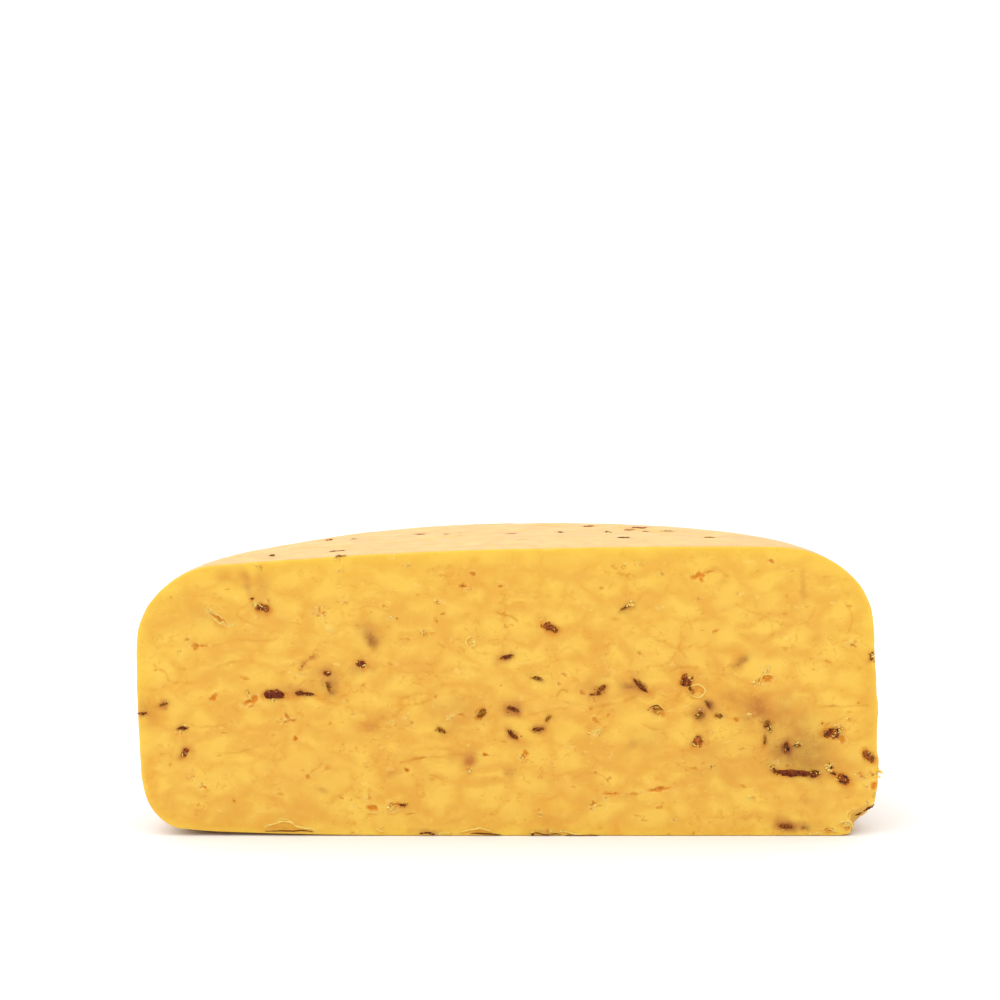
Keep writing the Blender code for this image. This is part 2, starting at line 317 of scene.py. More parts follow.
MARKS = [
    # dried fruit: u, v, length, width, turn, then tone 0 dark to 1 light brown, halo strength, halo size
    (BERRY, 262.5, 607.6, 14, 8.5, -14, 0.45, 0.30, 1.6),
    (BERRY, 274, 695, 21, 9.5, -3, 0.05, 0.45, 1.5),
    (BERRY, 361, 664.4, 11, 8.5, -15, 0.10, 0.45, 1.9),
    (BERRY, 327, 673.4, 7, 4.2, 0, 0.15, 0.55, 2.4),
    (BERRY, 184.8, 752.5, 11, 5.5, 50, 0.20, 0.55, 2.0),
    (BERRY, 549.8, 627.4, 17, 8.8, -20, 0.45, 0.20, 1.4),
    (BERRY, 686.9, 680.3, 13, 13, 0, 0.35, 0.25, 1.4),
    (BERRY, 697.7, 741.6, 12, 11, 10, 0.80, 0.25, 1.4),
    (BERRY, 832, 733.2, 18, 11, 8, 0.30, 0.20, 1.4),
    (BERRY, 792.5, 773.8, 35, 5.8, -2, 0.08, 0.45, 1.5),
    (BERRY, 815.6, 774.2, 9.5, 6.6, -10, 0.12, 0.40, 1.5),
    (BERRY, 842.9, 778.8, 15, 8.5, -35, 0.22, 0.40, 1.5),
    (BERRY, 868.4, 756.3, 15, 7, -45, 0.50, 0.25, 1.5),
    (HERB, 872.2, 656.6, 9, 4.2, 82, 0.45, 0.0, 0.35, 1.8),
    # herb and peel slivers: u, v, length, width, turn, tone 0 black-maroon to 1 olive, bend, halo strength, halo size
    (HERB, 180.6, 728.6, 6.4, 2.8, 14, 0.10, 0.1, 0.30, 1.8),
    (HERB, 184.6, 727.8, 6.6, 2.6, -16, 0.10, -0.1, 0.30, 1.8),
    (HERB, 807.5, 774.2, 9, 3.2, 2, 0.15, 0.0, 0.30, 1.6),
    (HERB, 700.0, 715.0, 9, 7, 10, 1.0, 0.0, 0.35, 1.6),
    (HERB, 785.5, 826.4, 14, 4.6, -2, 0.30, 0.0, 0.45, 1.6),
    (HERB, 341.0, 555.6, 12, 1.4, 2, 0.10, 0.0, 0.20, 1.5),
    (HERB, 299.5, 693.4, 9, 5.0, -8, 0.10, 0.0, 0.40, 1.6),
    (HERB, 308.4, 694.6, 13, 2.2, -6, 0.15, 0.10, 0.30, 1.6),
    (HERB, 328.5, 686.5, 9, 2.8, 105, 0.60, 0.10, 0.65, 2.4),
    (HERB, 656.5, 709.3, 14, 2.4, -6, 0.35, 0.22, 0.20, 1.6),
    (HERB, 691.3, 688.8, 11, 2.8, -60, 0.45, -0.16, 0.20, 1.6),
    (HERB, 786.2, 747.4, 10, 3.8, 80, 0.35, 0.06, 0.80, 2.3),
    (DOT, 785.4, 745.4, 4.4, 0.95),
    (DOT, 787.4, 749.6, 4.6, 0.95),
    (SMUDGE, 786.5, 747.5, 11, 9, 80, 1, 0.80),
    (HERB, 163.5, 704.8, 9, 2.4, 14, 0.50, 0.08, 0.70, 2.8),
    (HERB, 141.8, 713.5, 10, 1.8, 2, 0.15, 0.0, 0.60, 2.6),
    (HERB, 506.7, 658, 14, 3.4, 15, 0.20, 0.12, 0.60, 2.2),
    (HERB, 513, 709.6, 13, 5.4, -20, 0.25, 0.10, 0.70, 2.3),
    (HERB, 512.4, 734.5, 14, 5.0, -40, 0.25, -0.08, 0.65, 1.9),
    (HERB, 481.2, 713.2, 11, 7.0, 48, 0.98, 0.0, 0.20, 1.4),
    (HERB, 441.4, 730.2, 9.5, 4.6, -28, 0.95, 0.05, 0.35, 1.9),
    (HERB, 627.0, 607.2, 14, 2.6, 32, 0.80, 0.10, 0.45, 2.2),
    (HERB, 537, 679, 12, 2.6, -15, 0.60, 0.12, 0.45, 2.0),
    (HERB, 601.6, 689.6, 12, 5.4, 42, 0.30, 0.10, 0.40, 1.6),
    (HERB, 595.0, 694.4, 11, 1.8, 3, 0.35, -0.05, 0.30, 1.6),
    (HERB, 641, 685.4, 20, 5.2, -40, 0.10, -0.06, 0.65, 1.7),
    (SMUDGE, 629.5, 686.2, 12, 3.6, -12, 1, 0.70),
    (SMUDGE, 629.5, 686.2, 18, 8, -12, 0, 0.40),
    (HERB, 548.0, 718.8, 7.5, 3.2, 50, 0.95, 0.0, 0.30, 2.0),
    (HERB, 538.3, 730, 12, 4, 3, 0.30, 0.10, 0.60, 2.0),
    (HERB, 766.8, 724.2, 8, 3.8, 62, 0.65, 0.1, 0.55, 2.2),
    (HERB, 769, 729, 8, 2.8, -70, 0.60, 0.1, 0.35, 2.0),
    (HERB, 765, 739.8, 9, 2.4, 88, 1.0, 0.0, 0.35, 2.0),
    (HERB, 797.4, 745.8, 9, 1.8, 10, 1.0, 0.15, 0.35, 2.2),
    (HERB, 707.8, 704.8, 8, 2.0, -55, 1.0, 0.0, 0.30, 2.0),
    (HERB, 719.0, 715.8, 8, 3.0, -14, 1.0, 0.0, 0.30, 2.0),
    (HERB, 773.5, 769.5, 8, 3.2, -45, 0.30, 0.1, 0.35, 2.0),
    (HERB, 833.5, 773.8, 6, 2.4, -25, 0.25, 0.0, 0.30, 2.0),
    (HERB, 402.7, 805.4, 8, 2.8, -3, 0.10, 0.1, 0.30, 1.8),
    (PIT, 770.8, 561, 6.5, 3.6, -5, 0.25, 0.85),
    (DOT, 770.8, 561, 2.8, 0.50),
    (PIT, 485.6, 755, 7, 3.6, -10, 0.3, 1.0),
    (DOT, 484.8, 754.8, 3.0, 0.50),
    (PIT, 295.8, 739, 6, 5, 50, 0.35, 1.0),
    (DOT, 295.8, 739, 3.4, 0.45),
    (PIT, 501, 586.2, 8, 2.4, -8, 0.25, 1.0),
    (DOT, 499.5, 586.0, 2.4, 0.40),
    (PIT, 407, 770.2, 6, 3.4, -45, 0.25, 1.0),
    (DOT, 407, 770.2, 3.0, 0.65),
    # hollows and tears, their orange painted in as the shade and glow inside them: u, v, length, width, turn, depth
    # mm, amber strength
    (PIT, 218.5, 618.6, 21, 3.6, -34, 0.40, 0.90),
    (PIT, 481.2, 713.5, 11, 10, 48, 0.40, 0.80),
    (PIT, 463, 586, 10, 3.6, -5, 0.35, 1.0),
    (DOT, 462.6, 586.0, 4.2, 0.55),
    (PIT, 657.6, 713, 14, 7, -8, 0.55, 0.50),
    (PIT, 697.6, 690.4, 11, 8, 10, 0.35, 0.36),
    (PIT, 195.5, 646.8, 9, 6, -10, 0.45, 0.80),
    (PIT, 201.5, 646.0, 13, 2.8, 2, 0.3, 0.75),
    (PIT, 187.4, 640, 5, 4, 30, 0.4, 0.60),
    (PIT, 213.8, 697, 10, 5.5, 52, 0.4, 1.0),
    (PIT, 252, 701.2, 16, 8, 40, 0.50, 1.0),
    (PIT, 250.5, 706, 8, 3, 20, 0.35, 0.9),
    (PIT, 247.6, 692.5, 9, 3, -65, 0.35, 0.85),
    (PIT, 287.2, 717, 11, 3.4, -62, 0.40, 1.0),
    (PIT, 291, 720.4, 13, 3.2, 14, 0.40, 1.0),
    (PIT, 284.6, 722, 7, 2.6, 34, 0.30, 0.9),
    (PIT, 719.0, 715.8, 9, 5, -14, 0.3, 0.90),
    (PIT, 473.5, 573.8, 7, 6, -35, 0.5, 0.75),
    (PIT, 372, 808, 13, 9, -10, 0.55, 0.92),
    (PIT, 393, 807, 16, 7, 22, 0.42, 0.75),
    (PIT, 342, 797.8, 6, 2.5, -25, 0.3, 0.5),
    (PIT, 411.6, 814.3, 14, 2.2, 2, 0.3, 0.45),
    (PIT, 523.9, 755, 11, 6, 55, 0.35, 0.98),
    (PIT, 698.0, 576, 14, 6.5, 14, 0.42, 1.0),
    (PIT, 701.5, 579, 7, 3, -40, 0.3, 0.9),
    (PIT, 708.5, 571.5, 14, 2.6, 12, 0.25, 0.8),
    (PIT, 715.6, 631.2, 8, 3, 15, 0.20, 0.95),
    (PIT, 583, 692.4, 8, 4.5, -40, 0.4, 0.65),
    (PIT, 595.7, 720.5, 8, 4, -30, 0.4, 0.55),
    (PIT, 658.8, 789.5, 25, 5.0, 6, 0.34, 1.0),
    (PIT, 662, 787.4, 8, 4.0, 30, 0.30, 1.0),
    (PIT, 612, 793.5, 18, 2.6, 3, 0.25, 0.90),
    (PIT, 644.2, 820.7, 9, 2.2, 4, 0.3, 0.5),
    (PIT, 767.0, 678.0, 13, 6, 6, 0.5, 0.92),
    (PIT, 760.5, 681, 7, 4, 60, 0.4, 0.60),
    (PIT, 833.3, 705.8, 13, 2.2, -4, 0.3, 0.5),
    (PIT, 872.2, 786.3, 8, 7, 40, 0.5, 0.95),
    (PIT, 841.6, 739, 9, 6, -20, 0.4, 0.9),
    (PIT, 828.8, 829.8, 12, 3, -3, 0.4, 0.9),
    (PIT, 713, 732.7, 1.8, 6, 0, 0.25, 0.6),
    (PIT, 699, 599, 6, 2.6, 20, 0.25, 0.35),
    (PIT, 787.4, 765.9, 6, 3, 30, 0.3, 0.4),
    (PIT, 595, 772.2, 5, 3.5, -50, 0.3, 0.45),
    (PIT, 443, 613.7, 7, 2.6, -5, 0.3, 0.6),
    (PIT, 436.5, 621.6, 3.5, 4.5, 20, 0.3, 0.7),
    (PIT, 383.6, 606.3, 6, 3.4, -20, 0.3, 0.55),
    (PIT, 435.9, 697.5, 5, 3.6, 10, 0.3, 0.6),
    (PIT, 412, 722.5, 6, 3.5, -20, 0.3, 0.5),
    (PIT, 564.4, 674.6, 8, 3.6, -12, 0.3, 0.6),
    (PIT, 559, 684, 6, 5, 40, 0.3, 0.5),
    (PIT, 308, 776.7, 4, 7, -25, 0.35, 0.6),
    (PIT, 280, 794, 8, 3, -18, 0.3, 0.45),
    (PIT, 203, 787, 9, 2.8, -12, 0.30, 0.95),
    (PIT, 640, 654, 6, 3, -40, 0.3, 0.5),
    (PIT, 594.5, 700, 3, 8, 10, 0.3, 0.4),
    (PIT, 461, 715, 8, 2.6, -12, 0.3, 0.65),
    (PIT, 424, 757.5, 7, 2.6, 14, 0.3, 0.55),
    (PIT, 609, 779.5, 5, 4, -35, 0.3, 0.45),
    (PIT, 593, 803, 8, 4, 65, 0.35, 0.95),
    (PIT, 853.5, 645, 9, 2.4, -25, 0.25, 0.95),
    (PIT, 800, 745, 5, 2, 10, 0.2, 0.3),
    # small dark spots: u, v, size, strength
    (DOT, 252, 598.7, 3.6, 0.95),
    (DOT, 822, 723, 2.8, 0.7),
    (DOT, 829.0, 763.6, 3.2, 0.80),
    (DOT, 832.4, 768.2, 3.4, 0.90),
    (DOT, 826.8, 769.0, 2.6, 0.70),
    (DOT, 736.4, 720.0, 3.6, 0.60),
    (DOT, 299.6, 669.4, 2.0, 0.50),
    (DOT, 302.0, 666.4, 2.2, 0.60),
    (DOT, 304.2, 663.6, 2.0, 0.50),
    (DOT, 311.2, 657.4, 3.0, 0.60),
    (DOT, 313.8, 656.8, 2.2, 0.50),
    (DOT, 859, 703, 2.6, 0.6),
    (DOT, 170, 765, 2.6, 0.55),
    (DOT, 234, 801, 2.8, 0.6),
    (DOT, 199, 805, 3.0, 0.45),
    (DOT, 155.5, 670, 2.4, 0.5),
    (DOT, 171, 597, 2.6, 0.45),
    (DOT, 437, 602.5, 3.2, 0.8),
    (DOT, 396.5, 618.5, 2.8, 0.8),
    (DOT, 591, 708.4, 3.4, 0.55),
    (DOT, 435, 619, 2.6, 0.45),
    (DOT, 363, 685.4, 3.2, 0.5),
    (DOT, 366, 638, 2.6, 0.35),
    (DOT, 601.4, 588.2, 3.0, 0.4),
    (DOT, 469.5, 770.8, 2.8, 0.85),
    (DOT, 592.5, 805.0, 2.6, 0.40),
    (DOT, 606, 799.0, 2.4, 0.40),
    (DOT, 540.8, 815, 2.6, 0.7),
    (DOT, 711.8, 766.5, 2.4, 0.7),
    (DOT, 663, 573.5, 2.4, 0.55),
    (DOT, 735.5, 719.5, 3.0, 0.5),
    (DOT, 776.5, 746.5, 2.6, 0.6),
    (DOT, 607.5, 715.5, 2.6, 0.6),
    (DOT, 330, 723.5, 3.2, 0.35),
    (DOT, 273, 735.5, 3.0, 0.35),
    (DOT, 803.5, 828.4, 3.6, 0.45),
    (DOT, 462.4, 586.0, 2.6, 0.7),
    (DOT, 668.9, 835.0, 2.4, 0.7),
    (DOT, 692.9, 834.6, 2.4, 0.75),
    (DOT, 772.6, 832.6, 2.2, 0.5),
    (DOT, 838.5, 729.5, 2.8, 0.9),
    (DOT, 836.0, 726.8, 2.2, 0.7),
    (DOT, 328.0, 767.0, 1.8, 0.3),
    # soft stains that show through, and at the end painted shade along the bottom edge and the broken notch: u, v,
    # length, width, turn, channel 0 purple-grey 1 olive 2 amber, strength
    (SMUDGE, 246, 583, 32, 9, -74, 0, 0.46),
    (SMUDGE, 262, 588, 30, 14, -80, 0, 0.30),
    (SMUDGE, 229, 577, 36, 18, -20, 2, 0.26),
    (SMUDGE, 229, 577, 26, 14, -20, 0, 0.16),
    (SMUDGE, 371.8, 641.5, 18, 8, -62, 1, 0.72),
    (SMUDGE, 371, 640, 24, 15, -62, 2, 0.42),
    (SMUDGE, 371, 640, 24, 13, -62, 0, 0.42),
    (SMUDGE, 367, 634, 28, 26, -40, 0, 0.40),
    (SMUDGE, 469.7, 761.4, 13, 9, 30, 0, 0.78),
    (SMUDGE, 464, 757, 26, 16, -10, 0, 0.30),
    (SMUDGE, 391, 773.5, 15, 7, 20, 0, 0.42),
    (SMUDGE, 469.7, 761.4, 15, 10, 30, 2, 0.30),
    (SMUDGE, 386, 770, 24, 12, 10, 2, 0.35),
    (SMUDGE, 322, 790, 13, 5, -22, 0, 0.58),
    (SMUDGE, 508.6, 772, 14, 9, 0, 0, 0.40),
    (SMUDGE, 740.8, 661.2, 19, 6, 35, 1, 0.46),
    (SMUDGE, 740.8, 661.2, 23, 11, 35, 0, 0.40),
    (SMUDGE, 733, 656, 24, 12, 10, 2, 0.35),
    (SMUDGE, 760.6, 708.4, 12, 12, 0, 0, 0.40),
    (SMUDGE, 803.5, 588, 32, 6, 94, 0, 0.36),
    (SMUDGE, 724, 581, 14, 7, 0, 0, 0.18),
    (SMUDGE, 815.4, 748, 10, 6, 0, 0, 0.25),
    (SMUDGE, 807, 801, 10, 5, -10, 0, 0.28),
    (SMUDGE, 400, 705.8, 10, 8, 0, 2, 0.50),
    (SMUDGE, 368, 725, 22, 16, -15, 2, 0.50),
    (SMUDGE, 371, 727, 12, 7, -20, 0, 0.25),
    (SMUDGE, 802, 752, 68, 42, 6, 0, 0.36),
    (SMUDGE, 790, 760, 40, 22, 0, 1, 0.25),
    (SMUDGE, 750, 705, 70, 44, -8, 2, 0.34),
    (SMUDGE, 752, 706, 42, 26, -20, 0, 0.24),
    (SMUDGE, 761, 714, 36, 24, -25, 0, 0.40),
    (SMUDGE, 634.6, 744, 16, 10, 20, 0, 0.36),
    (SMUDGE, 710, 712, 30, 20, 0, 0, 0.30),
    (SMUDGE, 630, 690, 34, 14, -10, 0, 0.30),
    (SMUDGE, 610, 716, 32, 16, 0, 2, 0.25),
    (SMUDGE, 455, 706, 30, 18, 0, 0, 0.22),
    (SMUDGE, 148, 710, 24, 26, -10, 0, 0.28),
    (SMUDGE, 148, 712, 24, 26, -10, 2, 0.24),
    (SMUDGE, 160, 722, 20, 14, 0, 2, 0.16),
    (SMUDGE, 318, 680, 36, 22, 12, 0, 0.20),
    (SMUDGE, 338, 694, 26, 16, 20, 2, 0.22),
    (SMUDGE, 205, 602, 40, 22, -20, 2, 0.18),
    (SMUDGE, 540, 722, 50, 30, 0, 2, 0.18),
    (SMUDGE, 797, 826, 50, 10, 0, 0, 0.30),
    (SMUDGE, 868, 700, 20, 60, 0, 2, 0.22),
    (SMUDGE, 590, 640, 40, 16, -20, 2, 0.20),
    (SMUDGE, 700, 700, 60, 40, 10, 2, 0.20),
    (SMUDGE, 302.8, 666.3, 11, 2.8, 55, 0, 0.64),
    (SMUDGE, 312.4, 657.3, 7, 4, 10, 0, 0.60),
    (SMUDGE, 306, 662, 18, 10, 48, 0, 0.36),
    (SMUDGE, 332, 692, 9, 6, -50, 1, 0.55),
    (SMUDGE, 709, 704.5, 9, 4, -52, 1, 0.85),
    (SMUDGE, 709, 704.5, 14, 9, -50, 0, 0.40),
    (SMUDGE, 700, 713, 13, 11, 0, 0, 0.60),
    (SMUDGE, 707, 709, 20, 14, -40, 0, 0.34),
    (SMUDGE, 719.4, 716, 10, 3.8, -14, 1, 0.35),
    (SMUDGE, 719.4, 716, 14, 7, -14, 2, 0.50),
    (SMUDGE, 736.4, 719.8, 6, 3, 5, 2, 0.80),
    (SMUDGE, 785.5, 826.4, 17, 7.5, -2, 1, 0.85),
    (SMUDGE, 786, 824, 26, 13, 0, 0, 0.42),
    (SMUDGE, 805, 828, 10, 4, 0, 1, 0.62),
    (SMUDGE, 804, 826, 16, 9, 0, 0, 0.30),
    (SMUDGE, 764, 745, 5, 9, 0, 2, 0.65),
    (SMUDGE, 664, 714.5, 9, 5, -22, 2, 0.75),
    (SMUDGE, 657, 713, 18, 11, -8, 0, 0.25),
    (SMUDGE, 290, 691, 34, 12, 6, 0, 0.30),
    (SMUDGE, 291, 698, 16, 5, 0, 2, 0.40),
    (SMUDGE, 318, 697, 22, 8, -12, 2, 0.55),
    (SMUDGE, 342, 692, 26, 12, -20, 2, 0.30),
    (SMUDGE, 329, 682, 18, 26, 10, 0, 0.46),
    (SMUDGE, 782, 716, 44, 34, -40, 0, 0.26),
    (SMUDGE, 800, 742, 66, 44, -30, 1, 0.24),
    (SMUDGE, 812, 764, 70, 30, -8, 1, 0.26),
    (SMUDGE, 840, 776, 40, 20, -30, 2, 0.30),
    (SMUDGE, 758, 704, 26, 22, 0, 0, 0.24),
    (SMUDGE, 775, 750, 16, 22, 0, 1, 0.22),
    (SMUDGE, 740, 700, 40, 26, 0, 0, 0.20),
    (SMUDGE, 868, 700, 14, 80, 0, 0, 0.10),
    (SMUDGE, 548, 814, 58, 28, 0, 2, 0.30),
    (SMUDGE, 550, 816, 50, 20, 0, 0, 0.12),
    (SMUDGE, 545, 822, 40, 12, 0, 2, 0.30),
    (SMUDGE, 460, 580, 44, 20, 0, 2, 0.22),
    (SMUDGE, 390, 800, 40, 18, 0, 2, 0.20),
    (SMUDGE, 210, 612, 40, 26, -20, 0, 0.14),
    (SMUDGE, 215, 640, 40, 20, 0, 2, 0.14),
    (SMUDGE, 595, 690, 34, 24, 0, 0, 0.26),
    (SMUDGE, 650, 740, 34, 22, 0, 0, 0.20),
    (SMUDGE, 715, 760, 60, 40, 0, 0, 0.16),
    (SMUDGE, 370, 725, 36, 22, 0, 0, 0.20),
    (SMUDGE, 450, 716, 44, 26, 0, 0, 0.22),
    (SMUDGE, 152, 786, 10, 48, -4, 2, 0.46),
    (SMUDGE, 148, 772, 8, 66, -4, 2, 0.20),
    # painted shade from here on: orange-brown and grey bands along the bottom edge, under the torn flap and flake, and
    # along the broken notch
    (SMUDGE, 172, 817, 34, 8, -28, 2, 0.38),
    (SMUDGE, 240, 826, 90, 7, -2, 2, 0.26),
    (SMUDGE, 280, 828, 30, 6, -3, 0, 0.26),
    (SMUDGE, 280, 829.5, 36, 4, -3, 2, 0.60),
    (SMUDGE, 430, 832, 26, 5, 0, 0, 0.70),
    (SMUDGE, 480, 832, 26, 5, 0, 2, 0.65),
    (SMUDGE, 545, 833, 40, 6, 0, 0, 0.55),
    (SMUDGE, 617, 830, 14, 16, 0, 2, 0.45),
    (SMUDGE, 715, 832, 160, 8, 0, 2, 0.30),
    (SMUDGE, 828, 831, 14, 5, -4, 2, 0.85),
    (SMUDGE, 859, 806, 20, 12, -20, 2, 0.30),
    # pale crumbs and torn flakes, and a few single crumbs on dark bits that are painted highlights: u, v, length,
    # width, turn, count, size px
    (CRUMBS, 255.5, 604, 11, 6, -10, 12, 1.7),
    (CRUMBS, 262, 606.4, 8, 4, -14, 5, 1.5),
    (CRUMBS, 261, 568.5, 3, 7, 20, 4, 1.6),
    (CRUMBS, 256, 565, 4, 4, 0, 2, 1.4),
    (CRUMBS, 337, 559.5, 9, 2.5, -15, 4, 1.4),
    (CRUMBS, 340, 571, 5, 3, 0, 2, 1.5),
    (CRUMBS, 391, 558.5, 10, 2, 0, 4, 1.4),
    (CRUMBS, 267, 601, 8, 4, 0, 4, 1.4),
    (CRUMBS, 210, 611, 10, 5, -50, 8, 1.8),
    (CRUMBS, 225, 623.5, 12, 4, -20, 7, 1.5),
    (CRUMBS, 234, 624, 8, 5, 0, 5, 1.4),
    (CRUMBS, 272, 699.5, 8, 2.5, 0, 4, 1.5),
    (CRUMBS, 179, 732, 7, 2.5, 0, 4, 1.6),
    (CRUMBS, 183, 724.8, 7, 3, 0, 5, 1.5),
    # painted highlight: one pale crumb where this berry shows a glint
    (CRUMBS, 363.5, 665.5, 3, 3, 0, 1, 2.4),
    (CRUMBS, 249, 694, 5, 7, 0, 3, 1.8),
    (CRUMBS, 285, 721, 13, 7, -10, 7, 1.5),
    (CRUMBS, 391, 618.5, 9, 5, 0, 7, 1.7),
    (CRUMBS, 344.7, 700, 6, 4, 0, 2, 1.7),
    (CRUMBS, 353, 715, 5, 5, 0, 3, 1.4),
    (CRUMBS, 449.9, 717.3, 7, 7, 0, 6, 1.8),
    (CRUMBS, 469, 770.3, 8, 6, 0, 7, 1.9),
    (CRUMBS, 200, 784.6, 10, 3, -20, 4, 1.5),
    (CRUMBS, 191, 776, 5, 12, 25, 3, 1.3),
    (CRUMBS, 471, 642, 9, 9, 0, 3, 1.4),
    (CRUMBS, 592.5, 805.4, 10, 10, 0, 8, 1.7),
    (CRUMBS, 605.3, 798.4, 6, 6, 0, 4, 1.6),
    (CRUMBS, 595, 732.7, 17, 7, 0, 12, 1.7),
    (CRUMBS, 623.8, 565.5, 5, 4, 30, 3, 1.6),
    (CRUMBS, 640, 563, 12, 3, 5, 4, 1.3),
    (CRUMBS, 661.4, 573.4, 6, 4, 0, 3, 1.5),
    (CRUMBS, 601.4, 590, 5, 4, 0, 2, 1.7),
    (CRUMBS, 630.6, 603.6, 11, 5, 35, 9, 2.4),
    (CRUMBS, 851.8, 642.7, 11, 7, 10, 8, 1.5),
    (CRUMBS, 830, 765.9, 9, 11, 0, 12, 2.0),
    (CRUMBS, 772.7, 765.9, 12, 12, 0, 14, 1.4),
    (CRUMBS, 752.3, 797, 9, 6, 0, 5, 1.9),
    (CRUMBS, 180, 651.6, 6, 4, 0, 4, 1.4),
    (CRUMBS, 344, 600, 12, 10, 0, 5, 1.3),
    (CRUMBS, 763, 670, 5, 9, 0, 7, 1.7),
    (CRUMBS, 755, 682, 4, 10, 0, 5, 1.8),
    (CRUMBS, 393, 806, 12, 7, 25, 9, 2.0),
    (CRUMBS, 368, 798, 6, 8, 0, 4, 1.4),
    (CRUMBS, 522, 757, 8, 6, 50, 4, 1.5),
    (CRUMBS, 699, 714, 9, 9, 0, 5, 1.4),
    # painted highlight: pale crumbs where this pocket shows a glint
    (CRUMBS, 658, 711.5, 4, 3, 0, 2, 1.9),
    # painted highlight: one pale crumb where this berry shows a glint
    (CRUMBS, 688.5, 678.5, 3, 3, 0, 1, 2.2),
    (CRUMBS, 769, 730, 4, 8, -15, 4, 1.7),
    (CRUMBS, 748, 715.5, 7, 4, 0, 5, 1.7),
    (CRUMBS, 799, 743.5, 8, 3, 10, 5, 1.5),
    (CRUMBS, 773.5, 768, 4, 4, 0, 3, 1.6),
    (CRUMBS, 841, 731, 5, 7, 0, 5, 1.6),
    (CRUMBS, 849, 718, 6, 4, 0, 3, 1.5),
    (CRUMBS, 836, 779, 4, 3, 0, 2, 1.4),
    (CRUMBS, 773, 562, 4, 3, 0, 2, 1.7),
    (CRUMBS, 873, 656, 3, 5, 0, 2, 1.8),
    (CRUMBS, 540.8, 812, 3, 9, 0, 4, 1.3),
    (CRUMBS, 711.8, 766.5, 6, 5, 0, 4, 1.2),
    (CRUMBS, 437, 601, 8, 5, 0, 4, 1.3),
    (CRUMBS, 424, 632, 7, 5, 0, 4, 1.3),
    (CRUMBS, 404, 717, 6, 5, 0, 3, 1.4),
    (CRUMBS, 392, 722, 7, 4, 0, 4, 1.4),
    (CRUMBS, 672, 664, 6, 5, 0, 4, 1.5),
    (CRUMBS, 659, 608, 12, 4, 5, 4, 1.2),
    (CRUMBS, 739, 594, 8, 4, 0, 3, 1.2),
    (CRUMBS, 612, 756, 5, 4, 0, 3, 1.3),
    (CRUMBS, 673, 820.5, 6, 4, 0, 3, 1.2),
    (CRUMBS, 468, 590, 10, 6, 0, 4, 1.2),
    (CRUMBS, 407, 565, 10, 6, 0, 3, 1.3),
    (CRUMBS, 781, 830.4, 6, 2, 0, 4, 1.4),
    (CRUMBS, 447, 833, 18, 2, 0, 9, 1.5),
    (CRUMBS, 428, 833.6, 18, 2, 0, 5, 1.4),
    (CRUMBS, 355, 832.3, 8, 2, 0, 3, 1.6),
    (CRUMBS, 533, 832.6, 2, 3, 0, 2, 1.7),
    (CRUMBS, 549.6, 831.2, 5, 1.5, 0, 3, 1.5),
    (CRUMBS, 561.8, 831.2, 5, 1.5, 0, 3, 1.5),
    (CRUMBS, 815, 833.4, 11, 2, 0, 6, 1.5),
    (CRUMBS, 878.6, 773.5, 5, 9, 0, 9, 2.6),
    (CRUMBS, 872, 774, 11, 6, -8, 6, 1.8),
    (CRUMBS, 860, 777, 16, 8, -20, 3, 1.6),
    (CRUMBS, 874, 795, 3, 5, 0, 4, 1.9),
    (CRUMBS, 867, 786, 8, 6, 0, 2, 1.5),
    (CRUMBS, 846, 826, 10, 6, -10, 7, 1.9),
    (CRUMBS, 868, 803, 5, 6, 60, 5, 1.7),
    (CRUMBS, 838, 727, 8, 6, 0, 6, 1.6),
    (CRUMBS, 834.5, 731.5, 6, 3, 0, 3, 1.3),
    (CRUMBS, 872, 753, 4, 4, 0, 3, 1.6),
    (CRUMBS, 274, 701, 10, 2, 0, 5, 1.3),
    (CRUMBS, 697.5, 743, 9, 8, 0, 5, 1.2),
    (CRUMBS, 689, 678.5, 6, 4, 0, 3, 1.3),
    (CRUMBS, 712.8, 731, 4, 6, 0, 3, 1.2),
    (CRUMBS, 320, 612, 14, 12, -40, 6, 1.7),
    (CRUMBS, 328, 628, 8, 14, 20, 4, 1.5),
    # thin torn threads and lips of cheese: width px, then points
    (STRAND, 2.1, (264.6, 828.5), (268.3, 825.4), (276.8, 823.4), (281, 821.5), (289, 821.3), (292.8, 822.9), (296.4, 825.8), (304.8, 827.7), (313.3, 829.2), (316.6, 831.2)),
    (STRAND, 1.4, (276, 820.8), (280, 819.6), (285, 819.4), (290, 820)),
    (STRAND, 1.2, (375.5, 827.3), (378.2, 830.3), (381, 831.4), (385.5, 831.2)),
    (STRAND, 1.0, (380.5, 827.6), (382.5, 825.6), (384.6, 823.2)),
    (STRAND, 0.9, (408.8, 826.4), (409.3, 829.5), (409.3, 832.4)),
    (STRAND, 1.6, (456.0, 833.2), (462, 832.0), (469, 829.8), (477, 828.6), (484, 828.8), (489.5, 830.6), (494.5, 833.4)),
    (STRAND, 1.9, (468.6, 646.6), (466.3, 642.8), (467.4, 638.8), (471.0, 636.8), (474.6, 637.2)),
    (STRAND, 1.6, (471, 647), (474.2, 645.6), (474.9, 642.4), (472.4, 641.2)),
    (STRAND, 1.7, (563.6, 830.9), (568, 832.2), (576, 834.0), (587.4, 835.4)),
    (STRAND, 1.4, (838.3, 823.8), (841.5, 822.2), (846, 821.6), (850, 821.8), (852, 824.6), (852.9, 829.4)),
    (STRAND, 1.1, (826, 830.2), (830, 829.0), (834, 831.0), (838, 831.6)),
    (STRAND, 1.5, (689.8, 687.4), (693.6, 685.4), (699.0, 685.2), (703.4, 687.6), (705.2, 691.4), (703.0, 695.2), (698.4, 697.2), (693.2, 696.4), (690.0, 693.8)),
    (STRAND, 1.1, (211.5, 616.6), (216, 620.8), (221, 624.4), (226, 625.4)),
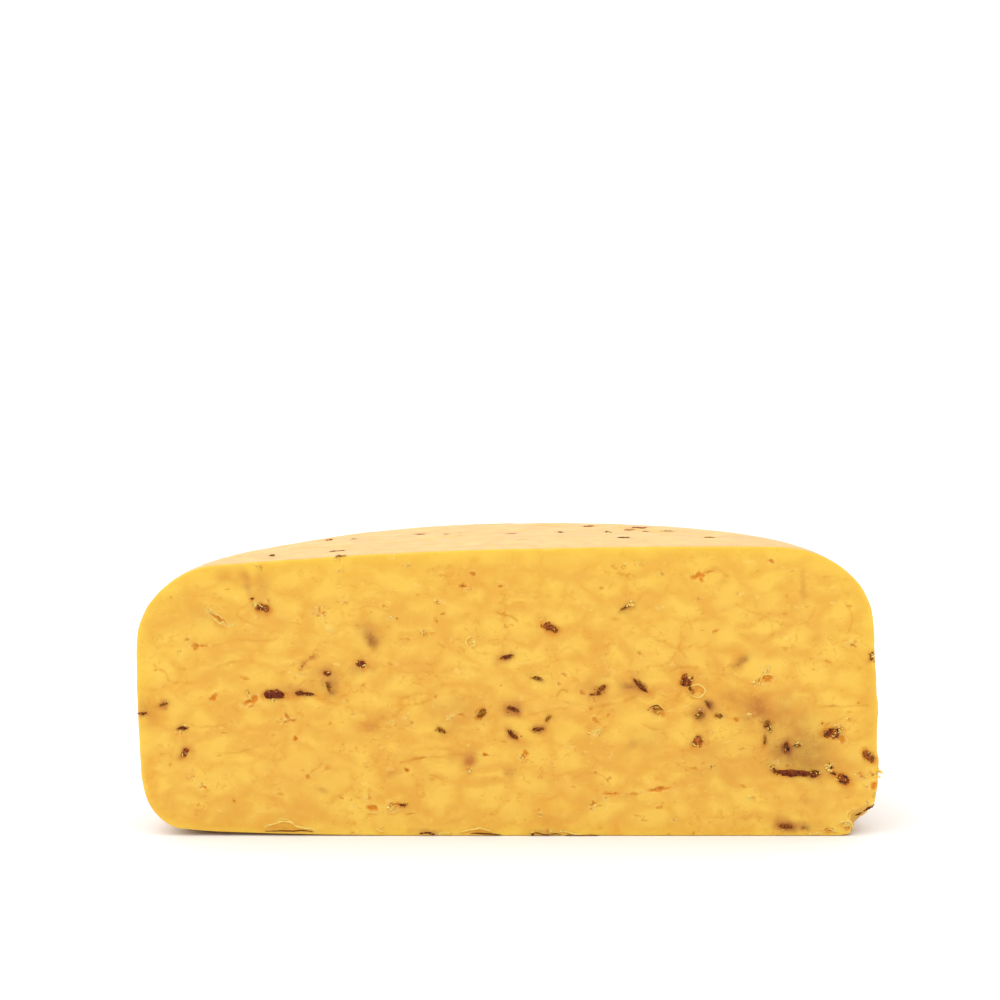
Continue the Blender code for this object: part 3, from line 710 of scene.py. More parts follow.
    (STRAND, 0.9, (213.4, 612.4), (218, 614.6), (223, 618.6)),
    (STRAND, 1.1, (246.4, 687.5), (247.6, 692.6), (249.6, 697.2), (252, 700.4)),
    (STRAND, 0.9, (690.6, 570.6), (691.4, 573.4), (690.8, 576.0)),
    (STRAND, 1.5, (758.6, 684.9), (761.0, 679.4), (764.4, 672.8), (768.0, 666.4), (769.8, 663.8)),
    (STRAND, 1.2, (767.4, 664.8), (768.4, 668.4), (769.0, 672.2)),
    (STRAND, 1.1, (762.4, 675.2), (768, 674.0), (773, 675.2)),
    (STRAND, 1.1, (793.4, 748.0), (797.6, 744.6), (801.6, 744.0), (802.6, 747.0)),
    (STRAND, 0.9, (366.5, 811.6), (371, 813.0), (377.6, 812.2)),
    (STRAND, 0.9, (387, 811.2), (392, 812.6), (399.6, 809.8)),
    # seed coats: u, v, outer diameter, line width, open from, open to (degrees), squeeze
    (RING, 424.4, 634, 6, 1.2, 40, 90, 0.9),
    (RING, 711.8, 766.5, 6, 1.2, 200, 260, 0.8),
    # seams that stand out: strength, then points
    (SEAM, 0.75, (359, 721), (365, 725), (368, 729.5), (374, 730)),
    (SEAM, 0.60, (357, 734), (364, 730.5), (370, 733)),
    (SEAM, 0.60, (556, 697), (563, 690), (570, 692)),
    (SEAM, 0.55, (376, 722), (383, 718), (389, 721)),
    (SEAM, 0.98, (399, 762), (404, 761.6), (410, 760.6), (414, 758.8), (419, 758.4), (424, 757.2)),
    (SEAM, 0.38, (424, 757.2), (440, 756.5), (462, 754), (486, 755.5), (506, 757)),
    (SEAM, 0.75, (496, 611), (504, 615.5), (511, 617), (519, 621.8)),
    (SEAM, 0.70, (306, 778.5), (313, 771), (318, 767.5), (323, 761.5)),
    (SEAM, 0.60, (428, 774), (436, 776), (443, 781)),
    (SEAM, 0.65, (438, 641.5), (441, 644.5), (446, 649)),
    (SEAM, 0.42, (208, 646), (220, 645), (233, 640), (262, 641), (283, 637)),
    (SEAM, 0.50, (215, 668), (227, 663), (245, 661)),
    (SEAM, 0.45, (150, 663), (165, 672), (172, 682), (196, 683)),
    (SEAM, 0.45, (188, 724), (206, 727), (228, 724)),
    (SEAM, 0.40, (212, 753), (240, 752), (262, 744)),
    (SEAM, 0.40, (610, 795), (634, 793.5), (650, 791)),
    (SEAM, 0.50, (560, 701), (590, 706), (618, 703), (640, 694)),
    (SEAM, 0.45, (525, 715), (548, 711), (575, 706)),
    (SEAM, 0.45, (640, 722), (652, 728), (667, 731)),
    (SEAM, 0.45, (568, 779), (590, 773), (606, 778), (612, 789)),
    (SEAM, 0.45, (676, 700), (684, 690), (694, 700)),
    (SEAM, 0.50, (668, 671), (684, 667), (699, 670)),
    (SEAM, 0.40, (726, 718), (750, 717), (764, 709)),
    (SEAM, 0.40, (818, 706), (845, 707), (872, 704)),
    (SEAM, 0.40, (700, 573), (716, 570), (730, 578)),
    (SEAM, 0.40, (560, 650), (572, 648), (580, 659)),
    (SEAM, 0.40, (466, 640), (478, 652), (492, 654)),
    (SEAM, 0.40, (395, 700), (420, 693), (440, 695), (462, 690)),
    (SEAM, 0.45, (392, 720), (404, 707), (424, 702), (436, 697)),
    (SEAM, 0.35, (350, 612), (368, 606), (392, 612)),
    (SEAM, 0.35, (300, 690), (316, 699), (344, 706)),
    (SEAM, 0.35, (246, 601), (238, 616), (262, 627), (276, 633)),
    (SEAM, 0.35, (770, 620), (788, 626), (806, 622), (818, 606)),
    (SEAM, 0.35, (732, 604), (752, 612), (770, 620), (774, 640)),
    (SEAM, 0.35, (845, 600), (852, 618), (846, 636)),
    (SEAM, 0.35, (655, 640), (678, 648), (688, 660)),
]


def ellipse(points, u, v, length, width, turn, wobble, seed):
    """0 at a mark's middle and 1 on its uneven outline, for points (n, 2) of the cut face."""
    cx, cz = on_face(u, v)
    dx, dz = points[:, 0] - cx, points[:, 1] - cz
    if wobble:
        size = max(min(length, width) * PX * 0.7, 0.5 * MM)
        where = np.stack([points[:, 0], points[:, 1], np.full(len(points), seed * 7.7)], axis=1)
        dx = dx + wobble * size * noise(where, size, 3)
        dz = dz + wobble * size * noise(where, size, 4)
    c, s = math.cos(math.radians(turn)), math.sin(math.radians(turn))
    a, b = max(length, 1.0) * PX / 2, max(width, 1.0) * PX / 2
    return np.hypot((dx * c + dz * s) / a, (-dx * s + dz * c) / b)


def close_to(points, u, v, reach):
    cx, cz = on_face(u, v)
    return np.flatnonzero(
        (np.abs(points[:, 0] - cx) < reach) & (np.abs(points[:, 1] - cz) < reach)
    )


def to_line(points, line):
    """(distance, share along) from points to a polyline, both in metres of the face."""
    best, along, run = np.full(len(points), 1e9), np.zeros(len(points)), 0.0
    for a, b in zip(line[:-1], line[1:]):
        d = b - a
        length = np.hypot(*d)
        t = np.clip(((points - a) @ d) / (length * length), 0, 1)
        distance = np.hypot(*(points - a - t[:, None] * d).T)
        closer = distance < best
        best[closer] = distance[closer]
        along[closer] = (run + t * length)[closer]
        run += length
    return best, along / run


def curve_through(points, count=6):
    """A smooth line through the points (Catmull-Rom)."""
    p = [np.array(q, float) for q in points]
    p = [2 * p[0] - p[1]] + p + [2 * p[-1] - p[-2]]
    out = []
    for i in range(1, len(p) - 2):
        for k in range(count):
            t = k / count
            out.append(
                0.5
                * (
                    2 * p[i]
                    + (p[i + 1] - p[i - 1]) * t
                    + (2 * p[i - 1] - 5 * p[i] + 4 * p[i + 1] - p[i + 2]) * t * t
                    + (3 * p[i] - p[i - 1] - 3 * p[i + 1] + p[i + 2]) * t**3
                )
            )
    out.append(p[-2])
    return np.array(out)


def face_line(points):
    return curve_through([on_face(u, v) for u, v in points])


CHIP_MIDDLE = np.array(on_face(862, 816))  # the broken right foot


def mark_level(points):
    """How fine the cut face's mesh has to be at each point: 0, 1 or 2."""
    level = np.zeros(len(points), int)
    for i, mark in enumerate(MARKS):
        kind = mark[0]
        if kind in (SEAM, STRAND):
            line = face_line(mark[2:])
            low, high = line.min(axis=0) - 2 * MM, line.max(axis=0) + 2 * MM
            near = np.flatnonzero(((points > low) & (points < high)).all(axis=1))
            distance, _ = to_line(points[near], line)
            if kind == SEAM:
                level[near] = np.maximum(level[near], np.where(distance < 0.33 * MM, 2, 0))
            level[near] = np.maximum(level[near], np.where(distance < 0.9 * MM, 1, 0))
            continue
        if kind == DOT:
            u, v, length = mark[1:4]
            width, turn = length, 0
        elif kind == RING:
            u, v, length = mark[1:4]
            width, turn = length, 0
        else:
            u, v, length, width, turn = mark[1:6]
        if kind == SMUDGE:
            continue
        pads = ((0.9, 1), (0.25, 2)) if kind in (BERRY, HERB, PIT, DOT) else ((0.3, 1),)
        reach = (max(length, width) / 2) * PX + 2 * MM
        near = close_to(points, u, v, reach)
        for pad, value in pads:
            grow = 2 * pad * MM / PX
            r = ellipse(points[near], u, v, length + grow, width + grow, turn, 0, i)
            level[near] = np.maximum(level[near], np.where(r < 1, value, 0))
    away = np.hypot(*(points - CHIP_MIDDLE).T)
    level = np.maximum(level, np.where(away < 7.5 * MM, 1, 0))
    return np.maximum(level, np.where(away < 5.0 * MM, 2, 0))


# ---------------------------------------------------------------- the block's mesh
NODE_STEP = 0.95 * MM
TOP_NODES = np.linspace(-TOP_FLAT, TOP_FLAT, int(2 * TOP_FLAT / NODE_STEP))
BASE_NODES = np.linspace(-BASE_FLAT, BASE_FLAT, int(2 * BASE_FLAT / (1.15 * NODE_STEP)))
SIDE_NODES = np.linspace(0, BAND_LENGTH, int(BAND_LENGTH / NODE_STEP))
TURN_NODES = np.linspace(0, math.pi, 262)
ROWS = np.array([0.5, 0.741, 1.0]) * EDGE_ROUND


ATTRIBUTES = ("purple", "olive", "amber", "pale", "dark", "seam")


def crease_lines():
    """Raised lines that the folded press cloth left: on the top as (x, y), on the band as (s, t) lines of the true wheel."""
    top = [
        # one that runs along the rim, a little inside it, and others that cross it
        [(0.068 * math.cos(a), 0.068 * math.sin(a) + 0.0012 * math.sin(5 * a)) for a in np.linspace(0.35, 1.55, 9)],
        [(0.020, 0.008), (0.026, 0.024), (0.030, 0.040), (0.031, 0.056), (0.029, 0.070)],
        [(0.034, 0.050), (0.045, 0.044), (0.056, 0.041)],
        [(-0.045, 0.012), (-0.034, 0.026), (-0.020, 0.036), (-0.002, 0.047), (0.012, 0.060)],
        [(-0.060, 0.038), (-0.050, 0.030), (-0.038, 0.027)],
        [(-0.018, 0.058), (-0.026, 0.066), (-0.030, 0.073)],
    ]
    band = [
        [(0.004, 0.060), (0.020, 0.063), (0.038, 0.062), (0.058, 0.066), (0.074, 0.065)],
        [(0.030, 0.062), (0.042, 0.078), (0.050, 0.094)],
        [(0.010, 0.150), (0.026, 0.146), (0.044, 0.149), (0.060, 0.146)],
        [(0.052, 0.118), (0.056, 0.140), (0.054, 0.168), (0.058, 0.200)],
        [(0.002, 0.232), (0.018, 0.238), (0.036, 0.236), (0.050, 0.243), (0.078, 0.240)],
        [(0.024, 0.262), (0.034, 0.276), (0.048, 0.284)],
        [(0.066, 0.020), (0.070, 0.042), (0.067, 0.064)],
        [(0.014, 0.186), (0.024, 0.196), (0.028, 0.212)],
    ]
    return [curve_through(c) for c in top], [curve_through(c) for c in band]


TOP_CREASES, BAND_CREASES = crease_lines()


def line_level(lines, wide, near):
    def level(points):
        found = np.zeros(len(points), int)
        for line in lines:
            low, high = line.min(axis=0) - 3 * MM, line.max(axis=0) + 3 * MM
            some = np.flatnonzero(((points > low) & (points < high)).all(axis=1))
            distance, _ = to_line(points[some], line)
            found[some] = np.maximum(found[some], np.where(distance < wide, 1, 0))
            found[some] = np.maximum(found[some], np.where(distance < near, 2, 0))
        return found

    return level


def crease_height(points, lines, seed):
    """(height, closeness 0 to 1) of the raised lines at points of a sheet."""
    height, close = np.zeros(len(points)), np.zeros(len(points))
    for k, line in enumerate(lines):
        distance, along = to_line(points, line)
        ends = smooth(0.0, 0.12, along) * smooth(1.0, 0.85, along)
        where = np.stack([points[:, 0], points[:, 1], np.full(len(points), 0.37 * k)], axis=1)
        broken = 0.65 + 0.5 * noise(where, 5 * MM, seed + k)
        ridge = np.exp(-((distance / (0.38 * MM)) ** 2))
        dip = np.exp(-((distance / (1.5 * MM)) ** 2))
        value = ends * broken
        height = height + value * (0.34 * MM * ridge - 0.10 * MM * dip)
        close = np.maximum(close, value * np.exp(-((distance / (0.55 * MM)) ** 2)))
    return height, close


def on_top(u, v):
    """Where the sight line through a point of the frame meets the top, as (x, y) of the true wheel."""
    right, down = (u - 500.0) / FOCAL_PX, (v - 500.0) / FOCAL_PX
    along = math.cos(PITCH) - down * math.sin(PITCH)
    up = -math.sin(PITCH) - down * math.cos(PITCH)
    x, y, z = 0.0, 0.0, WHEEL_HEIGHT
    for _ in range(6):
        z = WHEEL_HEIGHT + TOP_SLOPE * x - TOP_DOME[0] * x * x - TOP_DOME[1] * y * y
        reach = (z - CAMERA[2]) / up
        x, y = CAMERA[0] + right * reach, CAMERA[1] + along * reach - CUT_Y
    return x, max(y, 1.2 * MM)


def outside_bits():
    """Fruit and herb bits of the outside, by sheet: (first, second coordinate, length, width, turn, tone, herb or not)."""
    rng = np.random.default_rng(SEED + 9)
    found = {"top": [], "base": [], "band": []}
    for u, v, length, width, turn, tone, herb in (
        (278.5, 555.2, 1.4, 0.6, 5, 0.60, True),
        (333, 540.4, 1.7, 1.9, 30, 0.70, False),
        (358, 540.0, 2.2, 0.8, 150, 0.35, True),
        (342, 551.6, 4.2, 0.8, 4, 0.45, True),
        (628.5, 537.8, 3.6, 0.9, 175, 0.60, True),
        (650.5, 531.4, 1.8, 1.4, 60, 0.30, False),
        (718.5, 537.6, 3.2, 0.5, 2, 0.90, True),
    ):
        found["top"].append((*on_top(u, v), length * MM, width * MM, turn, tone, herb))
    for sheet, count in (("top", 16), ("base", 14), ("band", 34)):
        while len(found[sheet]) < count:
            if sheet == "band":
                at = (rng.uniform(6, 96) * MM, rng.uniform(7, 309) * MM)
            else:
                radius = (TOP_FLAT if sheet == "top" else BASE_FLAT) - 4 * MM
                r, a = radius * math.sqrt(rng.uniform()), rng.uniform(0, math.pi)
                at = (r * math.cos(a), r * math.sin(a))
                if at[1] < (42 if sheet == "top" else 5) * MM:
                    continue
            if all(math.hypot(at[0] - b[0], at[1] - b[1]) > 6 * MM for b in found[sheet]):
                herb = bool(rng.uniform() < 0.5)
                length = rng.uniform(2.0, 5.0) * MM
                width = length * (rng.uniform(0.22, 0.36) if herb else rng.uniform(0.45, 0.85))
                found[sheet].append((*at, length, width, rng.uniform(0, 180), rng.uniform(0.05, 0.7), herb))
    return found


OUTSIDE_BITS = outside_bits()


def bit_distance(points, bit, grow, seed):
    """0 at a bit's middle and 1 on its uneven outline, in its sheet's plane."""
    a, b, length, width, turn = bit[:5]
    d = points - (a, b)
    where = np.stack([d[:, 0], d[:, 1], np.full(len(d), seed * 0.01)], axis=1)
    d = d + 0.3 * MM * np.stack([noise(where, 1.4 * MM, seed), noise(where, 1.4 * MM, seed + 1)], axis=1)
    c, s = math.cos(math.radians(turn)), math.sin(math.radians(turn))
    return np.hypot(
        (d[:, 0] * c + d[:, 1] * s) / (length / 2 + grow), (-d[:, 0] * s + d[:, 1] * c) / (width / 2 + grow)
    )


def stamp_bits(points, bits):
    """(how far in, strengths of the marks) that a sheet's bits leave at its points."""
    inward = np.zeros(len(points))
    marks = {name: np.zeros(len(points)) for name in ATTRIBUTES}

    def put(name, where, value):
        marks[name][where] = 1 - (1 - marks[name][where]) * (1 - np.clip(value, 0, 1))

    for k, bit in enumerate(bits):
        near = np.flatnonzero(np.hypot(*(points - bit[:2]).T) < bit[2] + 6 * MM)
        tone, herb = bit[5:7]
        r = bit_distance(points[near], bit, 0.9 * MM, 300 + k)
        put("olive" if herb and tone > 0.4 else "purple", near, 0.42 * np.exp(-(r**2)))
        r = bit_distance(points[near], bit, 0.15 * MM, 300 + k)
        put("amber", near, 0.45 * np.exp(-(((r - 1.0) / 0.35) ** 2)))
        put("dark", near, 0.7 * (1 - smooth(0.6, 1.1, r)))
        inward[near] += 0.25 * MM * (1 - smooth(0.7, 1.2, r))
    return inward, marks


def with_bits(level, bits, corner=None):
    """A sheet's mesh level, also fine at its bits and near the broken foot."""

    def wanted(points):
        found = level(points) if level else np.zeros(len(points), int)
        for k, bit in enumerate(bits):
            near = np.flatnonzero(np.hypot(*(points - bit[:2]).T) < bit[2] + 3 * MM)
            r = bit_distance(points[near], bit, 1.0 * MM, 300 + k)
            found[near] = np.maximum(found[near], np.where(r < 1, 1, 0))
            r = bit_distance(points[near], bit, 0.35 * MM, 300 + k)
            found[near] = np.maximum(found[near], np.where(r < 1, 2, 0))
        if corner:
            away = np.hypot(points[:, 0] - corner[0], points[:, 1] - corner[1])
            found = np.maximum(found, np.where(away < 15 * MM, 1, 0))
            found = np.maximum(found, np.where(away < 10 * MM, 2, 0))
        return found

    return wanted


def half_disc(radius, nodes, turn_nodes):
    arc = np.stack([radius * np.cos(turn_nodes), radius * np.sin(turn_nodes)], axis=1)
    straight = np.stack([nodes, np.zeros_like(nodes)], axis=1)
    return np.concatenate([straight[:-1], arc[:-1]])


def skin_sheets():
    """The three sheets of the outside: (true-wheel points, faces, relief, crease closeness, marks) each."""
    sheets = []
    for radius, nodes, point, steps, creases, seed, bits, corner in (
        (TOP_FLAT, TOP_NODES, top_point, (1.35 * MM, 0.8 * MM, 0.42 * MM), TOP_CREASES, 11, OUTSIDE_BITS["top"], None),
        (
            BASE_FLAT,
            BASE_NODES,
            base_point,
            (2.1 * MM, 0.9 * MM, 0.5 * MM),
            [],
            12,
            OUTSIDE_BITS["base"],
            (BASE_FLAT, 0.0),
        ),
    ):
        loop = half_disc(radius, nodes, TURN_NODES)
        inner = nodes[np.abs(nodes) < radius - 1.5 * MM]
        rows = np.concatenate([np.stack([inner, np.full_like(inner, e)], axis=1) for e in ROWS])
        level = with_bits(line_level(creases, 1.3 * MM, 0.65 * MM), bits, corner)
        made, faces, _ = mesh_sheet(loop, steps, level, rows, 0.35 * MM, seed)
        if point is base_point:
            faces = faces[:, ::-1]
        height, close = crease_height(made, creases, seed)
        inward, marks = stamp_bits(made, bits)
        sheets.append((point(made[:, 0], made[:, 1]), faces, height - inward, close, marks))
    far = math.pi * WHEEL_RADIUS
    t = TURN_NODES * WHEEL_RADIUS
    loop = np.concatenate(
        [
            np.stack([SIDE_NODES[:-1], np.zeros(len(SIDE_NODES) - 1)], axis=1),
            np.stack([np.full(len(t) - 1, BAND_LENGTH), t[:-1]], axis=1),
            np.stack([SIDE_NODES[:0:-1], np.full(len(SIDE_NODES) - 1, far)], axis=1),
            np.stack([np.zeros(len(t) - 1), t[:0:-1]], axis=1),
        ]
    )
    inner = SIDE_NODES[1:-1]
    rows = np.concatenate(
        [np.stack([inner, np.full_like(inner, e)], axis=1) for e in (*ROWS, *(far - ROWS))]
    )
    made, faces, _ = mesh_sheet(
        loop,
        (1.35 * MM, 0.8 * MM, 0.42 * MM),
        with_bits(line_level(BAND_CREASES, 1.3 * MM, 0.65 * MM), OUTSIDE_BITS["band"], (BAND_LENGTH - 6 * MM, 0.0)),
        rows,
        0.35 * MM,
        13,
    )
    height, close = crease_height(made, BAND_CREASES, 13)
    inward, marks = stamp_bits(made, OUTSIDE_BITS["band"])
    sheets.append((band_point(made[:, 0], made[:, 1]), faces, height - inward, close, marks))
    return sheets


def welded(points, faces, within=2e-6):
    """Equal points made one. Returns (points, faces, index of each old point)."""
    tree = kdtree.KDTree(len(points))
    for i, p in enumerate(points):
        tree.insert(p, i)
    tree.balance()
    index = np.arange(len(points))
    for i, p in enumerate(points):
        same = [j for _, j, _ in tree.find_range(p, within)]
        index[i] = min(same)
    index = index[index]
    used, new = np.unique(index, return_inverse=True)
    faces = new.reshape(-1)[faces]
    whole = (faces[:, 0] != faces[:, 1]) & (faces[:, 1] != faces[:, 2]) & (faces[:, 0] != faces[:, 2])
    return points[used], faces[whole], new.reshape(-1)


def vertex_normals(points, faces):
    a, b, c = (points[faces[:, k]] for k in range(3))
    n = np.cross(b - a, c - a)
    total = np.zeros_like(points)
    for k in range(3):
        np.add.at(total, faces[:, k], n)
    return total / np.maximum(np.linalg.norm(total, axis=1, keepdims=True), 1e-20)


def rind_relief(p, n):
    """How far the outside stands out or in at points p with normals n."""
    side = 1 - np.abs(n[:, 2])
    down = np.clip(-n[:, 2], 0, 1)
    wave = 0.22 * MM * noise(p, 34 * MM, 31, 2)
    dimple = 0.10 * MM * noise(p, 7.5 * MM, 32, 2) + 0.045 * MM * noise(p, 2.6 * MM, 33, 2)
    pits = smooth(0.52, 0.80, noise(p, 3.4 * MM, 34)) * smooth(-0.1, 0.35, noise(p, 16 * MM, 35))
    # the right end's edge is rougher, low down
    rough = smooth(0.070, 0.095, p[:, 0]) * smooth(0.052, 0.036, p[:, 2]) * smooth(0.0, 0.006, p[:, 2])
    knobs = rough * 0.30 * MM * noise(p, 2.3 * MM, 36, 2)
    swell = np.exp(-(((p[:, 2] - on_face(880, 764)[1]) / (4.2 * MM)) ** 2)) * smooth(0.088, 0.097, p[:, 0])
    knobs += 0.60 * MM * swell * np.exp(-(((p[:, 1] - CUT_Y) / (9 * MM)) ** 2))
    relief = wave * (0.4 + 0.6 * side) + dimple - 0.20 * MM * pits + knobs
    relief += 0.45 * MM * smooth(0.3, 0.9, n[:, 2]) * (0.35 + 0.65 * smooth(0.03, -0.02, p[:, 0]))
    hollow = np.exp(-(((p[:, 0] + 0.061) / 0.016) ** 2)) * smooth(0.001, 0.010, p[:, 1] - CUT_Y)
    relief -= 0.55 * MM * hollow * smooth(0.2, 0.8, n[:, 2])
    return relief * (1 - smooth(0.75, 0.98, down)) - 0.02 * MM * down


def face_relief(points, attributes):
    """How far in (+) each point of the cut face lies, and the marks' strengths there."""
    p3 = np.stack([points[:, 0], np.zeros(len(points)), points[:, 1]], axis=1)
    inward = 0.07 * MM * noise(p3 * (1, 1, 0.45), 24 * MM, 51, 2)
    inward += 0.035 * MM * noise(p3, 5.5 * MM, 52, 2) + 0.020 * MM * noise(p3, 1.9 * MM, 53, 2)
    marks = {name: np.zeros(len(points)) for name in attributes}

    def put(name, where, value):
        marks[name][where] = 1 - (1 - marks[name][where]) * (1 - np.clip(value, 0, 1))

    for i, mark in enumerate(MARKS):
        kind = mark[0]
        if kind == SEAM:
            line = face_line(mark[2:])
            low, high = line.min(axis=0) - 2 * MM, line.max(axis=0) + 2 * MM
            near = np.flatnonzero(((points > low) & (points < high)).all(axis=1))
            where = points[near] + 0.22 * MM * np.stack(
                [noise(p3[near], 1.6 * MM, 61 + i), noise(p3[near], 1.6 * MM, 161 + i)], axis=1
            )
            distance, along = to_line(where, line)
            ends = smooth(0.0, 0.1, along) * smooth(1.0, 0.9, along)
            width = (0.30 + 0.12 * noise(p3[near], 4 * MM, 62)) * MM
            value = mark[1] * ends * np.exp(-((distance / width) ** 2))
            value *= 0.75 + 0.45 * noise(p3[near], 3.0 * MM, 63)
            put("seam", near, value)
            inward[near] += 0.07 * MM * value
            continue
        if kind == STRAND:
            line = face_line(mark[2:])
            low, high = line.min(axis=0) - 2 * MM, line.max(axis=0) + 2 * MM
            near = np.flatnonzero(((points > low) & (points < high)).all(axis=1))
            # painted shadow: the orange band is drawn half a millimetre below each thread, where it shades the face
            distance, along = to_line(points[near] + (0, 0.45 * MM), line)
            ends = smooth(0.0, 0.1, along) * smooth(1.0, 0.9, along)
            value = ends * np.exp(-((distance / (0.42 * MM)) ** 2))
            put("amber", near, 0.40 * value)
            inward[near] += 0.06 * MM * value
            continue
        if kind == DOT:
            u, v, size, strength = mark[1:]
            near = close_to(points, u, v, size * PX * 2.4)
            r = ellipse(points[near], u, v, size, size, 0, 0.5, i)
            put("dark", near, strength**1.7 * (1 - smooth(0.35, 1.15, r)))
            put("amber", near, 0.85 * strength**0.5 * (1 - smooth(0.6, 1.8, r)))
            inward[near] += 0.16 * MM * (1 - smooth(0.45, 1.25, r))
            continue
        if kind == RING:
            continue
        u, v, length, width, turn = mark[1:6]
        reach = max(length, width) / 2 * PX
        if kind == PIT:
            depth, amber = mark[6:]
            near = close_to(points, u, v, reach * 1.6 + 0.4 * MM)
            r = ellipse(points[near], u, v, length, width, turn, 0.55, i)
            value = 1 - smooth(0.35, 1.05, r)
            inward[near] += depth * MM * value - 0.07 * MM * np.exp(-(((r - 1.15) / 0.22) ** 2))
            # painted shade: each hollow is painted a deeper orange, for the shade and the glow of light inside it
            put("amber", near, amber * (1 - smooth(0.35, 1.35, r)))
            put("pale", near, 0.34 * np.exp(-(((r - 1.3) / 0.22) ** 2)) * (0.6 + 0.6 * noise(p3[near], 1.5 * MM, 67)))
        elif kind == SMUDGE:
            channel, strength = mark[6:]
            near = close_to(points, u, v, reach * 2.2 + 1 * MM)
            r = ellipse(points[near], u, v, length, width, turn, 0.5, i)
            value = strength * np.exp(-(r**2) * 1.1)
            value *= 0.85 + 0.3 * noise(p3[near], 2.2 * MM, 64, 2)
            put(("purple", "olive", "amber")[channel], near, value)
        elif kind in (BERRY, HERB):
            strength, size = mark[-2:]
            near = close_to(points, u, v, reach * size * 2 + 1.6 * MM)
            grow = (size - 1) * min(length, width) + 2.5
            r = ellipse(points[near], u, v, length + grow, width + grow, turn, 0.45, i)
            value = strength * np.exp(-(r**2) * 1.25)
            olive = kind == HERB and mark[6] > 0.5
            put("olive" if olive else "purple", near, value * (0.85 if olive else 0.95))
            r = ellipse(points[near], u, v, length, width, turn, 0.45, i)
            inward[near] += (0.35 if kind == BERRY else 0.22) * MM * (1 - smooth(0.7, 1.2, r))
            # painted shade: an orange ring round the rim of each bit's pocket
            put("amber", near, 0.60 * np.exp(-(((r - 1.05) / 0.38) ** 2)))
            if kind == BERRY:
                put("dark", near, (0.85 - 0.40 * mark[6]) * (1 - smooth(0.45, 1.1, r)))
            else:
                put("dark", near, (0.60 - 0.30 * mark[6]) * (1 - smooth(0.3, 0.95, r)))
        elif kind == CRUMBS:
            near = close_to(points, u, v, reach * 1.8 + 0.6 * MM)
            r = ellipse(points[near], u, v, length, width, turn, 0.5, i)
            value = (1 - smooth(0.5, 1.5, r)) * (0.5 + 0.5 * noise(p3[near], 0.9 * MM, 65))
            put("pale", near, 0.42 * value)
            # painted shade: orange and dark specks between the crumbs stand in for their small shadows; the face is
            # also dented a little there
            shade_specks = smooth(0.18, 0.55, noise(p3[near], 0.75 * MM, 68 + i)) * (1 - smooth(0.6, 1.4, r))
            put("amber", near, 0.85 * shade_specks)
            put("dark", near, 0.28 * smooth(0.5, 1.0, shade_specks))
            inward[near] += 0.10 * MM * value * noise(p3[near], 0.8 * MM, 66) + 0.12 * MM * shade_specks
    return inward, marks


